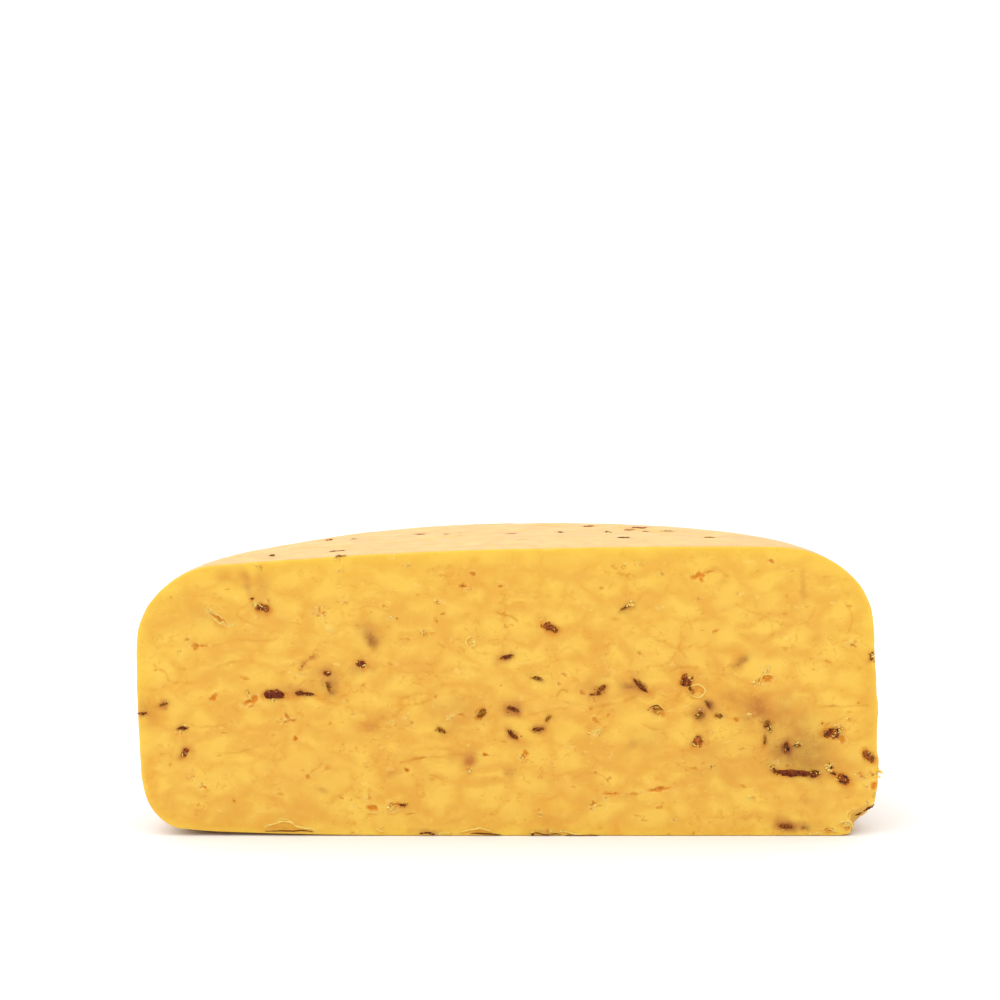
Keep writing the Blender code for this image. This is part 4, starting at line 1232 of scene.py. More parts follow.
def build_block():
    """(points, faces, attribute values) of the whole block as one closed mesh."""
    sheets = skin_sheets()
    points = np.concatenate([s[0] for s in sheets])
    starts = np.cumsum([0] + [len(s[0]) for s in sheets])
    faces = np.concatenate([s[1] + k for s, k in zip(sheets, starts)])
    crease = np.concatenate([s[2] for s in sheets])
    close = np.concatenate([s[3] for s in sheets])
    outer = {name: np.concatenate([s[4][name] for s in sheets]) for name in ATTRIBUTES}
    true = points
    points = settled(points) - SHIFT
    points, faces, index = welded(points, faces)
    keep = np.zeros(len(points), int)
    keep[index] = np.arange(len(index))
    crease, close, true = crease[keep], close[keep], true[keep]
    outer = {name: value[keep] for name, value in outer.items()}

    # Faces point out: the signed volume under the top is positive when they do.
    normals = vertex_normals(points, faces)
    outward = np.einsum("ij,ij->i", normals, points - np.array([0, 0.0, 0.035]))
    if np.median(outward) < 0:
        faces = faces[:, ::-1]
        normals = -normals
    edge = np.abs(true[:, 1]) < 1e-7  # on the cut
    flat_normals = normals.copy()
    flat_normals[edge, 1] = 0
    flat_normals /= np.maximum(np.linalg.norm(flat_normals, axis=1, keepdims=True), 1e-9)
    relief = rind_relief(points, flat_normals) + crease
    behind = np.maximum(points[:, 1] - CUT_Y, 0)
    rounding = np.where(
        behind < EDGE_ROUND,
        EDGE_ROUND - np.sqrt(np.maximum(EDGE_ROUND**2 - (EDGE_ROUND - behind) ** 2, 0)),
        0.0,
    )
    rounding[edge] = 0.293 * EDGE_ROUND
    skin = points + flat_normals * (relief - rounding)[:, None]
    skin[edge, 1] += 0.293 * EDGE_ROUND
    skin[:, 2] = np.maximum(skin[:, 2], 0.0)

    # The cut face, whose outline is the skin's open edge.
    order = outline_order(points, edge)
    loop = points[order][:, [0, 2]]
    area = 0.5 * np.sum(loop[:, 0] * np.roll(loop[:, 1], -1) - np.roll(loop[:, 0], -1) * loop[:, 1])
    if area < 0:
        order, loop = order[::-1], loop[::-1]
    tangent = np.roll(loop, -1, axis=0) - np.roll(loop, 1, axis=0)
    inner = np.stack([-tangent[:, 1], tangent[:, 0]], axis=1)
    inner /= np.linalg.norm(inner, axis=1, keepdims=True)
    rows = np.concatenate([loop + inner * e for e in ROWS])
    made, front, first = mesh_sheet(
        loop, (0.88 * MM, 0.54 * MM, 0.29 * MM), mark_level, rows, 0.35 * MM, 21
    )
    distance, nearest = near_points(made, dense(loop, 0.12 * MM))
    distance[first >= 0] = 0
    _, node = near_points(made, loop)
    inward, marks = face_relief(made, ATTRIBUTES)
    depth = np.where(
        distance < EDGE_ROUND,
        EDGE_ROUND - np.sqrt(np.maximum(EDGE_ROUND**2 - (EDGE_ROUND - distance) ** 2, 0)),
        0.0,
    )
    fade = smooth(0.0, 0.9 * MM, distance)
    shift = (skin[order] - points[order] + flat_normals[order] * 0.293 * EDGE_ROUND)[node]
    shift *= (1 - smooth(0.0, 3.5 * MM, distance))[:, None]
    face = np.stack(
        [made[:, 0] + shift[:, 0], CUT_Y + depth + inward * fade, made[:, 1] + shift[:, 2]], axis=1
    )
    face[:, 2] = np.maximum(face[:, 2], 0.0)
    n = len(skin)
    target = np.where(first >= 0, order[np.maximum(first, 0)], -1)
    fresh = np.flatnonzero(first < 0)
    target[fresh] = n + np.arange(len(fresh))
    front = target[front]
    a, b, c = (np.concatenate([skin, face[fresh]])[front[:, k]] for k in range(3))
    if np.cross(b - a, c - a)[:, 1].sum() > 0:
        front = front[:, ::-1]

    all_points = np.concatenate([skin, face[fresh]])
    all_faces = np.concatenate([faces, front])
    values = {}
    for name in ATTRIBUTES:
        values[name] = np.concatenate([outer[name], marks[name][fresh]])
        values[name][order] = marks[name][first >= 0][np.argsort(first[first >= 0])]
    values["pale"][:n] = np.maximum(values["pale"][:n], 0.38 * close)
    values["skin"] = np.concatenate([np.ones(n), np.zeros(len(fresh))])
    values["skin"][order] = 0.35
    # painted highlight along the rounded knife edge, where it catches the light from above, partly also the rind's
    # drier, paler paste; it fades within a millimetre or two of the outline
    values["rim"] = np.concatenate([np.zeros(n), np.exp(-distance[fresh] / (1.4 * MM))])
    values["rim"][order] = 1.0
    values["crease"] = np.concatenate([close, np.zeros(len(fresh))])
    # painted sheen: how much each point of the skin faces up toward the bright ceiling
    values["up"] = np.concatenate([smooth(0.45, 0.92, normals[:, 2]), np.zeros(len(fresh))])
    # painted light: within a few millimetres of the outline, and more on the face's upper part, the cut face is
    # painted brighter where the light from above falls
    painted_light_near_rind = np.exp(-distance / (9 * MM)) * smooth(0.012, 0.045, made[:, 1])
    values["edge"] = np.concatenate([np.zeros(n), painted_light_near_rind[fresh]])
    values["edge"][order] = painted_light_near_rind[first >= 0][np.argsort(first[first >= 0])]
    return all_points, all_faces, values


def outline_order(points, edge):
    """The skin's points on the cut, in order round the outline."""
    found = np.flatnonzero(edge)
    middle = np.array([0.0, 0.040])
    offset = points[found][:, [0, 2]] - middle
    return found[np.argsort(np.arctan2(offset[:, 1], offset[:, 0] * 0.4))]


def chip_corner(points, values):
    """Breaks the right foot of the cut face off along a ragged, undercut slope."""
    x, z = on_face(862, 807.8)
    ceiling_at, ceiling = np.array([x, CUT_Y, z]), np.array([0.33, -0.30, -0.87])
    x, z = on_face(849.0, 822)
    wall_at, wall = np.array([x, CUT_Y, z]), np.array([0.92, -0.22, 0.10])
    ceiling /= np.linalg.norm(ceiling)
    wall /= np.linalg.norm(wall)
    soft = 0.4 * MM
    near = np.flatnonzero(np.linalg.norm(points - ceiling_at, axis=1) < 26 * MM)
    p = points[near].copy()
    ragged = 0.45 * MM * noise(p, 2.4 * MM, 71, 2) + 0.28 * MM * noise(p, 0.9 * MM, 72)

    def depth(p):
        behind = p[:, 1] - CUT_Y
        a = (p - ceiling_at) @ ceiling - behind * behind / (30 * MM)
        b = (p - wall_at) @ wall - behind * behind / (60 * MM)
        low = np.minimum(a, b)
        wa, wb = np.exp(-(a - low) / soft), np.exp(-(b - low) / soft)
        value = low - soft * np.log(wa + wb) + ragged
        slope = (wa[:, None] * ceiling + wb[:, None] * wall) / (wa + wb)[:, None]
        return value, slope / np.maximum(np.linalg.norm(slope, axis=1, keepdims=True), 1e-9)

    first, _ = depth(p)
    for _ in range(14):
        value, slope = depth(p)
        p -= slope * (0.75 * np.maximum(value, 0))[:, None]
    amount = smooth(0.0, 0.5 * MM, first)
    points[near] = p
    points[:, 2] = np.maximum(points[:, 2], 0)
    values["skin"][near] *= 1 - amount
    values["rim"][near] *= 1 - amount
    values["edge"][near] *= 1 - amount
    for name in ATTRIBUTES:
        values[name][near] *= 1 - amount
    values["chip"] = np.zeros(len(points))
    values["chip"][near] = amount
    # painted highlight: a pale line along the broken edge
    edge_highlight = np.exp(-((first / (0.35 * MM)) ** 2)) * (0.55 + 0.6 * noise(points[near], 1.2 * MM, 73))
    values["pale"][near] = np.maximum(values["pale"][near], np.clip(0.75 * edge_highlight, 0, 1))
    return points


def object_from(name, points, faces, attributes):
    mesh = bpy.data.meshes.new(name)
    mesh.vertices.add(len(points))
    mesh.vertices.foreach_set("co", np.asarray(points, np.float32).ravel())
    mesh.loops.add(len(faces) * 3)
    mesh.loops.foreach_set("vertex_index", np.asarray(faces, np.int32).ravel())
    mesh.polygons.add(len(faces))
    mesh.polygons.foreach_set("loop_start", np.arange(0, len(faces) * 3, 3, dtype=np.int32))
    mesh.polygons.foreach_set("loop_total", np.full(len(faces), 3, np.int32))
    mesh.update(calc_edges=True)
    mesh.validate()
    for key, value in attributes.items():
        layer = mesh.attributes.new(key, "FLOAT", "POINT")
        layer.data.foreach_set("value", np.asarray(value, np.float32))
    mesh.shade_smooth()
    obj = bpy.data.objects.new(name, mesh)
    bpy.context.scene.collection.objects.link(obj)
    return obj


# ---------------------------------------------------------------- node materials
def colour(r, g, b):
    """A colour given in 0-255 display values, as linear RGBA."""
    def linear(c):
        c = c / 255.0
        return c / 12.92 if c <= 0.04045 else ((c + 0.055) / 1.055) ** 2.4

    return (linear(r), linear(g), linear(b), 1.0)


class Shader:
    """A material's node tree, built one value at a time."""

    def __init__(self, name):
        self.material = bpy.data.materials.new(name)
        self.material.use_nodes = True
        self.tree = self.material.node_tree
        self.principled = self.tree.nodes["Principled BSDF"]

    def link(self, value, socket):
        if isinstance(value, bpy.types.NodeSocket):
            self.tree.links.new(value, socket)
        elif value is not None:
            socket.default_value = value

    def node(self, kind, **settings):
        made = self.tree.nodes.new(kind)
        for key, value in settings.items():
            setattr(made, key, value)
        return made

    def math(self, operation, a, b=None, c=None, clamp=False):
        made = self.node("ShaderNodeMath", operation=operation, use_clamp=clamp)
        for value, socket in zip((a, b, c), made.inputs):
            self.link(value, socket)
        return made.outputs[0]

    def times(self, a, b):
        return self.math("MULTIPLY", a, b)

    def minus_from_one(self, a):
        return self.math("SUBTRACT", 1.0, a)

    def vector(self, operation, a, b):
        made = self.node("ShaderNodeVectorMath", operation=operation)
        self.link(a, made.inputs[0])
        self.link(b, made.inputs[1])
        return made.outputs[0]

    def scaled(self, a, factor):
        made = self.node("ShaderNodeVectorMath", operation="SCALE")
        self.link(a, made.inputs[0])
        made.inputs["Scale"].default_value = factor
        return made.outputs[0]

    def ramp(self, value, low, high, to_low=0.0, to_high=1.0):
        made = self.node("ShaderNodeMapRange", interpolation_type="SMOOTHSTEP")
        self.link(value, made.inputs["Value"])
        made.inputs["From Min"].default_value = low
        made.inputs["From Max"].default_value = high
        made.inputs["To Min"].default_value = to_low
        made.inputs["To Max"].default_value = to_high
        return made.outputs["Result"]

    def mix(self, factor, a, b, mode="MIX"):
        made = self.node("ShaderNodeMix", data_type="RGBA", blend_type=mode, clamp_factor=True)
        self.link(factor, made.inputs[0])
        self.link(a, made.inputs[6])
        self.link(b, made.inputs[7])
        return made.outputs[2]

    def place(self):
        """Object coordinates in millimetres."""
        return self.scaled(self.node("ShaderNodeTexCoord").outputs["Object"], 1000.0)

    def noise(self, vector, size, detail=2.0, rough=0.5, colour_out=False, distortion=0.0):
        made = self.node("ShaderNodeTexNoise")
        self.link(vector, made.inputs["Vector"])
        made.inputs["Scale"].default_value = 1.0 / size
        made.inputs["Detail"].default_value = detail
        made.inputs["Roughness"].default_value = rough
        made.inputs["Distortion"].default_value = distortion
        return made.outputs["Color" if colour_out else "Fac"]

    def warp(self, vector, size, amount, detail=1.0):
        swing = self.vector("SUBTRACT", self.noise(vector, size, detail, colour_out=True), (0.5, 0.5, 0.5))
        return self.vector("ADD", vector, self.scaled(swing, amount))

    def voronoi(self, vector, feature, randomness=1.0):
        made = self.node("ShaderNodeTexVoronoi", feature=feature)
        self.link(vector, made.inputs["Vector"])
        made.inputs["Scale"].default_value = 1.0
        made.inputs["Randomness"].default_value = randomness
        return made.outputs

    def attribute(self, name):
        return self.node("ShaderNodeAttribute", attribute_name=name).outputs["Fac"]

    def parts(self, value):
        made = self.node("ShaderNodeSeparateColor")
        self.link(value, made.inputs[0])
        return made.outputs

    def bump(self, height, strength, distance, under=None):
        made = self.node("ShaderNodeBump")
        made.inputs["Strength"].default_value = strength
        made.inputs["Distance"].default_value = distance
        self.link(height, made.inputs["Height"])
        self.link(under, made.inputs["Normal"])
        return made.outputs[0]

    def finish(self, base, roughness, normal=None, **constants):
        self.link(base, self.principled.inputs["Base Color"])
        self.link(roughness, self.principled.inputs["Roughness"])
        if normal is not None:
            self.link(normal, self.principled.inputs["Normal"])
        for key, value in constants.items():
            self.principled.inputs[key.replace("_", " ")].default_value = value
        return self.material


GAIN = (1.254, 1.202, 1.095)  # how bright the studio shows the cheese, by channel
VEIL = 0.030  # what its sheen adds


def cheese(r, g, b):
    """The cheese's own colour where it shows as this display value in the scene's light."""
    return tuple(max((c - VEIL) / k, 0.0) for c, k in zip(colour(r, g, b)[:3], GAIN)) + (1.0,)


def cheese_material():
    m = Shader("marbled_cheese")
    p = m.place()
    skin = m.attribute("skin")

    # Pressed curds: flattened cells with uneven borders.
    warped = m.warp(m.warp(p, 9.0, 6.5), 2.3, 1.8)
    cells_at = m.vector("MULTIPLY", warped, (1 / 11.0, 1 / 11.0, 1 / 6.6))
    border = m.voronoi(cells_at, "DISTANCE_TO_EDGE")["Distance"]
    random = m.parts(m.voronoi(cells_at, "F1")["Color"])
    broad = m.parts(m.noise(m.vector("MULTIPLY", p, (1.0, 1.0, 1.4)), 17.0, 2.0, colour_out=True))
    medium = m.parts(m.noise(m.vector("MULTIPLY", p, (1.0, 1.0, 1.3)), 4.6, 3.0, colour_out=True))
    fine = m.parts(m.noise(p, 1.15, 2.0, 0.55, colour_out=True))
    breaks = m.parts(m.noise(p, 2.2, 2.0, 0.6, colour_out=True))
    grit = m.parts(m.noise(p, 0.42, 1.0, colour_out=True))

    # Cut face: light curds that melt into a slightly darker paste, with fine torn wisps in it.
    inner = m.times(m.times(border, border), 3.2)
    melt = m.math("ADD", m.math("MULTIPLY_ADD", medium[0], 0.62, -0.31), m.math("MULTIPLY_ADD", broad[0], 0.9, -0.45))
    tone = m.mix(m.ramp(m.math("ADD", inner, melt), -0.18, 0.34), cheese(239, 179, 80), cheese(251, 203, 92))
    tone = m.mix(m.times(m.ramp(random[0], 0.30, 0.95), 0.20), tone, cheese(241, 180, 80))
    tone = m.mix(m.times(m.ramp(broad[1], 0.52, 0.74), 0.36), tone, cheese(238, 173, 82))
    tone = m.mix(m.times(m.ramp(medium[1], 0.50, 0.74), 0.22), tone, cheese(242, 180, 74))
    near = m.times(m.ramp(border, 0.15, 0.0), m.ramp(medium[1], 0.40, 0.62))
    tone = m.mix(m.times(near, 0.26), tone, cheese(236, 170, 72))
    folds = m.parts(m.noise(m.vector("MULTIPLY", warped, (1.0, 1.0, 1.7)), 7.0, 4.0, 0.6, colour_out=True))
    wisp = m.times(m.ramp(m.math("ABSOLUTE", m.math("SUBTRACT", folds[0], 0.5)), 0.034, 0.004), m.ramp(broad[2], 0.46, 0.60))
    wisp = m.times(wisp, m.ramp(breaks[0], 0.46, 0.58))
    tone = m.mix(m.times(wisp, 0.40), tone, cheese(220, 144, 54))
    wisp = m.times(m.ramp(m.math("ABSOLUTE", m.math("SUBTRACT", medium[2], 0.5)), 0.036, 0.004), m.ramp(folds[1], 0.54, 0.64))
    wisp = m.times(wisp, m.ramp(breaks[1], 0.46, 0.58))
    tone = m.mix(m.times(wisp, 0.34), tone, cheese(224, 148, 58))
    line = m.times(m.ramp(border, 0.045, 0.0), m.ramp(broad[1], 0.46, 0.62))
    line = m.times(line, m.ramp(medium[0], 0.46, 0.60))
    tone = m.mix(m.times(line, 0.34), tone, cheese(226, 156, 66))
    dashes = m.parts(m.noise(m.vector("MULTIPLY", m.warp(p, 2.6, 2.4), (0.60, 0.60, 1.5)), 2.1, 1.0, colour_out=True))
    dash = m.times(m.ramp(dashes[0], 0.645, 0.715), m.ramp(folds[2], 0.54, 0.64))
    tone = m.mix(m.times(dash, 0.62), tone, cheese(218, 138, 46))
    fleck = m.times(m.ramp(dashes[1], 0.65, 0.73), m.ramp(folds[2], 0.50, 0.62))
    tone = m.mix(m.times(fleck, 0.40), tone, cheese(255, 220, 122))
    fleck = m.times(m.ramp(fine[2], 0.60, 0.72), m.ramp(medium[0], 0.52, 0.62))
    tone = m.mix(m.times(fleck, 0.36), tone, cheese(254, 222, 130))
    # painted light: the cut face is made brighter in a band near its outline, most on the upper part, where the light
    # from above falls
    tone = m.mix(m.times(m.attribute("edge"), 0.28), tone, cheese(254, 201, 72))
    # painted highlight: the bright line along the rounded knife edge, partly also the rind's drier, paler paste
    tone = m.mix(m.times(m.attribute("rim"), 0.74), tone, cheese(255, 214, 84))

    # Outside: broader grey-brown and ochre borders under a waxy skin.
    rind = m.mix(m.ramp(m.math("ADD", inner, melt), -0.22, 0.36), cheese(234, 171, 73), cheese(244, 190, 86))
    rind = m.mix(m.times(m.ramp(random[0], 0.4, 1.0), 0.24), rind, cheese(234, 169, 70))
    halo = m.times(m.ramp(border, 0.20, 0.0), m.ramp(broad[1], 0.36, 0.62))
    rind = m.mix(m.times(halo, 0.32), rind, cheese(222, 152, 66))
    vein = m.times(m.ramp(border, 0.075, 0.0), m.ramp(broad[1], 0.38, 0.60, 0.06, 0.55))
    rind = m.mix(m.times(vein, m.ramp(fine[0], 0.30, 0.60, 0.35, 1.0)), rind, cheese(202, 136, 64))
    rind = m.mix(m.times(m.ramp(broad[2], 0.50, 0.72), 0.26), rind, cheese(224, 154, 62))
    scuff = m.times(m.ramp(fine[2], 0.60, 0.74), m.ramp(medium[1], 0.52, 0.66))
    rind = m.mix(m.times(scuff, 0.32), rind, cheese(248, 214, 142))
    # painted sheen: skin that faces up toward the bright ceiling is made paler and greyer
    rind = m.mix(m.times(m.attribute("up"), 0.46), rind, cheese(220, 188, 110))

    base = m.mix(skin, tone, rind)
    base = m.mix(m.times(m.attribute("chip"), 0.5), base, cheese(246, 186, 76))
    base = m.mix(m.times(m.attribute("seam"), 0.84), base, cheese(212, 134, 46))
    ragged = m.math("MULTIPLY_ADD", grit[0], 0.70, m.math("MULTIPLY_ADD", fine[1], 0.50, -0.60))
    amber = m.attribute("amber")
    amber = m.math("MULTIPLY_ADD", m.times(amber, ragged), 1.5, amber)
    base = m.mix(amber, base, cheese(231, 144, 20))
    purple = m.attribute("purple")
    purple = m.math("MULTIPLY_ADD", m.times(purple, ragged), 0.6, purple)
    base = m.mix(purple, base, cheese(176, 92, 58))
    olive = m.attribute("olive")
    olive = m.math("MULTIPLY_ADD", m.times(olive, ragged), 0.8, olive)
    base = m.mix(olive, base, cheese(126, 70, 26))
    base = m.mix(m.times(m.attribute("pale"), m.ramp(grit[2], 0.34, 0.62, 0.25, 1.05)), base, cheese(255, 230, 136))
    dark = m.attribute("dark")
    dark = m.ramp(m.math("MULTIPLY_ADD", m.times(m.ramp(dark, 0.0, 0.25), ragged), 0.9, dark), 0.16, 0.70)
    base = m.mix(dark, base, m.mix(m.ramp(olive, 0.30, 0.75), cheese(92, 40, 10), cheese(46, 40, 26)))
    base = m.mix(m.times(m.ramp(grit[1], 0.42, 0.66), 0.5), base, (1.0, 0.965, 0.84, 1), "MULTIPLY")

    roughness = m.math("MULTIPLY_ADD", medium[2], 0.16, 0.40)
    roughness = m.math("MULTIPLY_ADD", skin, -0.09, roughness)
    height = m.math("MULTIPLY_ADD", m.noise(p, 1.3, 2.0, 0.6), skin, m.times(grit[0], 0.35))
    return m.finish(
        base,
        roughness,
        m.bump(height, 0.45, 0.00010),
        Subsurface_Weight=0.25,
        Subsurface_Radius=(1.0, 0.42, 0.10),
        Subsurface_Scale=0.0014,
        IOR=1.45,
        Specular_IOR_Level=0.32,
    )


def fruit_material():
    m = Shader("dried_fruit")
    p = m.place()
    tone = m.attribute("tone")
    grain = m.noise(p, 0.5, 3.0, 0.6)
    folds = m.parts(m.noise(p, 0.9, 2.0, 0.6, colour_out=True))
    dark = m.mix(m.ramp(grain, 0.35, 0.70), colour(72, 20, 6), colour(118, 44, 14))
    light = m.mix(m.ramp(grain, 0.35, 0.70), colour(128, 62, 10), colour(206, 124, 40))
    base = m.mix(m.math("MULTIPLY_ADD", folds[0], 0.6, m.math("SUBTRACT", tone, 0.3)), dark, light)
    # painted highlights: small pale flecks on the fruit stand in for its glints
    painted_glints = m.times(m.ramp(folds[1], 0.64, 0.70), m.ramp(grain, 0.5, 0.62))
    base = m.mix(m.times(painted_glints, 0.8), base, colour(240, 196, 130))
    wrinkles = m.bump(m.math("ADD", grain, folds[2]), 0.8, 0.00012)
    return m.finish(base, m.ramp(grain, 0.3, 0.7, 0.30, 0.60), wrinkles, IOR=1.45, Specular_IOR_Level=0.14)


def herb_material():
    # this material also colours the dark slivers of painted shade along the bottom edge and under the notch
    m = Shader("herb_sliver")
    p = m.place()
    tone = m.attribute("tone")
    grain = m.noise(p, 0.45, 3.0, 0.6)
    patch = m.parts(m.noise(p, 0.8, 2.0, 0.6, colour_out=True))
    maroon = m.mix(m.ramp(grain, 0.35, 0.70), colour(66, 18, 8), colour(124, 52, 20))
    olive = m.mix(m.ramp(grain, 0.35, 0.70), colour(92, 52, 4), colour(170, 112, 30))
    base = m.mix(m.math("MULTIPLY_ADD", patch[0], 0.6, m.math("SUBTRACT", tone, 0.3)), maroon, olive)
    base = m.mix(m.times(m.ramp(patch[1], 0.60, 0.68), 0.7), base, colour(222, 150, 60))
    fibres = m.bump(m.noise(m.vector("MULTIPLY", p, (1.0, 1.0, 3.0)), 0.3, 2.0), 0.6, 0.00008)
    return m.finish(base, m.ramp(grain, 0.3, 0.7, 0.40, 0.64), fibres, IOR=1.45, Specular_IOR_Level=0.10)


def crumb_material():
    m = Shader("torn_cheese")
    p = m.place()
    grain = m.noise(p, 0.5, 3.0, 0.6)
    tone = m.attribute("tone")
    base = m.mix(m.ramp(grain, 0.35, 0.7), cheese(252, 200, 82), cheese(255, 232, 140))
    base = m.mix(tone, base, cheese(222, 142, 40))
    return m.finish(
        base,
        m.ramp(grain, 0.3, 0.7, 0.36, 0.54),
        m.bump(grain, 0.35, 0.00006),
        Subsurface_Weight=0.25,
        Subsurface_Radius=(1.0, 0.5, 0.15),
        Subsurface_Scale=0.0008,
        Specular_IOR_Level=0.32,
    )


def coat_material():
    m = Shader("seed_coat")
    p = m.place()
    grain = m.noise(p, 0.4, 2.0, 0.6)
    base = m.mix(m.ramp(grain, 0.35, 0.7), cheese(228, 160, 52), cheese(254, 216, 108))
    return m.finish(base, m.ramp(grain, 0.3, 0.7, 0.28, 0.46), m.bump(grain, 0.3, 0.00005), IOR=1.5, Specular_IOR_Level=0.3)


# ---------------------------------------------------------------- small lumps
def icosphere(level):
    work = bmesh.new()
    bmesh.ops.create_icosphere(work, subdivisions=level, radius=1.0)
    work.verts.ensure_lookup_table()
    points = np.array([v.co[:] for v in work.verts])
    faces = np.array([[v.index for v in f.verts] for f in work.faces])
    work.free()
    return points, faces


BALLS = {level: icosphere(level) for level in (1, 2, 3, 4)}


class Bits:
    """Many small closed lumps, joined in one mesh."""

    def __init__(self, name, seed):
        self.name, self.rng = name, np.random.default_rng(seed)
        self.points, self.faces, self.tones, self.count = [], [], [], 0

    def add(self, local, faces, at, frame_axes, tone):
        """local (n, 3) is along the surface, across it, and out of it."""
        points = np.asarray(at) + local @ np.asarray(frame_axes)
        if np.linalg.det(np.asarray(frame_axes)) < 0:
            faces = faces[:, ::-1]
        self.points.append(points)
        self.faces.append(faces + self.count)
        self.tones.append(np.full(len(points), tone) if np.isscalar(tone) else tone)
        self.count += len(points)

    def lump(self, at, axes, length, width, height, tone, planes=7, rough=0.16, level=2, top=None):
        """A wrinkled, faceted chunk. top is how far out of the surface it may stand."""
        ball, faces = BALLS[level]
        shape = ball.copy()
        k = int(self.rng.integers(1, 1 << 20))
        where = ball + self.rng.uniform(-50, 50, 3)
        shape *= (1 + rough * noise(where, 0.75, k, 2) + 0.4 * rough * noise(where, 0.28, k + 1))[:, None]
        for _ in range(planes):
            n = self.rng.normal(size=3)
            n /= np.linalg.norm(n)
            limit = self.rng.uniform(0.62, 0.92)
            over = np.maximum(shape @ n - limit, 0)
            shape -= over[:, None] * n * 0.9
        local = shape * (length / 2, width / 2, height / 2)
        if top is not None:
            flat = top + 0.06 * MM * noise(local + self.rng.uniform(-1, 1), 0.6 * MM, k + 2)
            local[:, 2] = np.where(local[:, 2] > flat, flat + 0.25 * (local[:, 2] - flat), local[:, 2])
        self.add(local, faces, at, axes, tone)

    def sliver(self, at, axes, length, width, height, tone, bend=0.0, rings=20, sides=10):
        """A thin, tapering strip with an uneven outline."""
        k = int(self.rng.integers(1, 1 << 20))
        t = np.linspace(-1, 1, rings)
        line = np.stack([t, np.zeros(rings), np.full(rings, k * 0.13)], axis=1)
        taper = np.sqrt(np.clip(1 - np.abs(t) ** 2.4, 0, 1)) * (1 + 0.30 * noise(line, 0.35, k))
        taper[0] = taper[-1] = 0.0
        sway = bend * length * (1 - t * t) + 0.05 * length * noise(line, 0.7, k + 1)
        angles = np.arange(sides) * 2 * math.pi / sides
        ring = np.stack([np.cos(angles), np.sin(angles)], axis=1)
        local = []
        for i in range(1, rings - 1):
            w, h = width / 2 * taper[i], height / 2 * (0.35 + 0.65 * taper[i])
            local.append(
                np.stack(
                    [
                        np.full(sides, t[i] * length / 2),
                        sway[i] + ring[:, 0] * w,
                        ring[:, 1] * h + 0.10 * height * noise(np.full((sides, 3), t[i] * 2.3), 0.5, k + 2),
                    ],
                    axis=1,
                )
            )
        local = np.concatenate(local)
        local += (0.10 * width * noise(local, 0.45 * MM, k + 3))[:, None] * (0, 1, 0.6)
        ends = np.array([[-length / 2, sway[0], 0], [length / 2, sway[-1], 0]])
        count = rings - 2
        faces = []
        for i in range(count - 1):
            for j in range(sides):
                a, b = i * sides + j, i * sides + (j + 1) % sides
                c, d = a + sides, b + sides
                faces += [(a, c, b), (b, c, d)]
        first, last = count * sides, count * sides + 1
        for j in range(sides):
            faces.append((first, j, (j + 1) % sides))
            faces.append((last, (count - 1) * sides + (j + 1) % sides, (count - 1) * sides + j))
        faces = np.array(faces)
        points = np.concatenate([local, ends])
        a, b, c = (points[faces[:, q]] for q in range(3))
        if np.einsum("ij,ij->i", a, np.cross(b, c)).sum() < 0:
            faces = faces[:, ::-1]
        self.add(points, faces, at, axes, tone)

    def ring(self, at, axes, diameter, thick, open_from, open_to, squeeze, tone, sides=8, steps=44):
        """A thin curled hoop with a gap."""
        k = int(self.rng.integers(1, 1 << 20))
        sweep = np.radians(np.linspace(open_to, open_from + 360, steps))
        radius = diameter / 2 - thick / 2
        angles = np.arange(sides) * 2 * math.pi / sides
        local = []
        for i, a in enumerate(sweep):
            end = min(i, steps - 1 - i) / (steps * 0.12)
            size = thick / 2 * min(1.0, 0.15 + end) * (1 + 0.25 * noise(np.array([[i * 0.21, k, 0.0]]), 1.0, k)[0])
            wave = 1 + 0.06 * noise(np.array([[i * 0.13, 3.0, k]]), 1.0, k + 1)[0]
            for b in angles:
                r = radius * wave + size * math.cos(b)
                local.append((r * math.cos(a), squeeze * r * math.sin(a), size * 0.9 * math.sin(b)))
        local.append(tuple(np.mean(local[:sides], axis=0)))
        local.append(tuple(np.mean(local[-sides - 1 : -1], axis=0)))
        faces = []
        for i in range(steps - 1):
            for j in range(sides):
                a, b = i * sides + j, i * sides + (j + 1) % sides
                c, d = a + sides, b + sides
                faces += [(a, c, b), (b, c, d)]
        n = steps * sides
        for j in range(sides):
            faces.append((n, j, (j + 1) % sides))
            faces.append((n + 1, (steps - 1) * sides + (j + 1) % sides, (steps - 1) * sides + j))
        faces, local = np.array(faces), np.array(local)
        a, b, c = (local[faces[:, q]] for q in range(3))
        mid = local[: steps * sides].reshape(steps, sides, 3).mean(axis=1)
        normals = np.cross(b - a, c - a)[: (steps - 1) * sides * 2]
        centres = ((a + b + c) / 3)[: (steps - 1) * sides * 2]
        spine = np.repeat(mid[:-1], sides * 2, axis=0)
        if np.einsum("ij,ij->i", normals, centres - spine).sum() < 0:
            faces = faces[:, ::-1]
        self.add(local, faces, at, axes, tone)

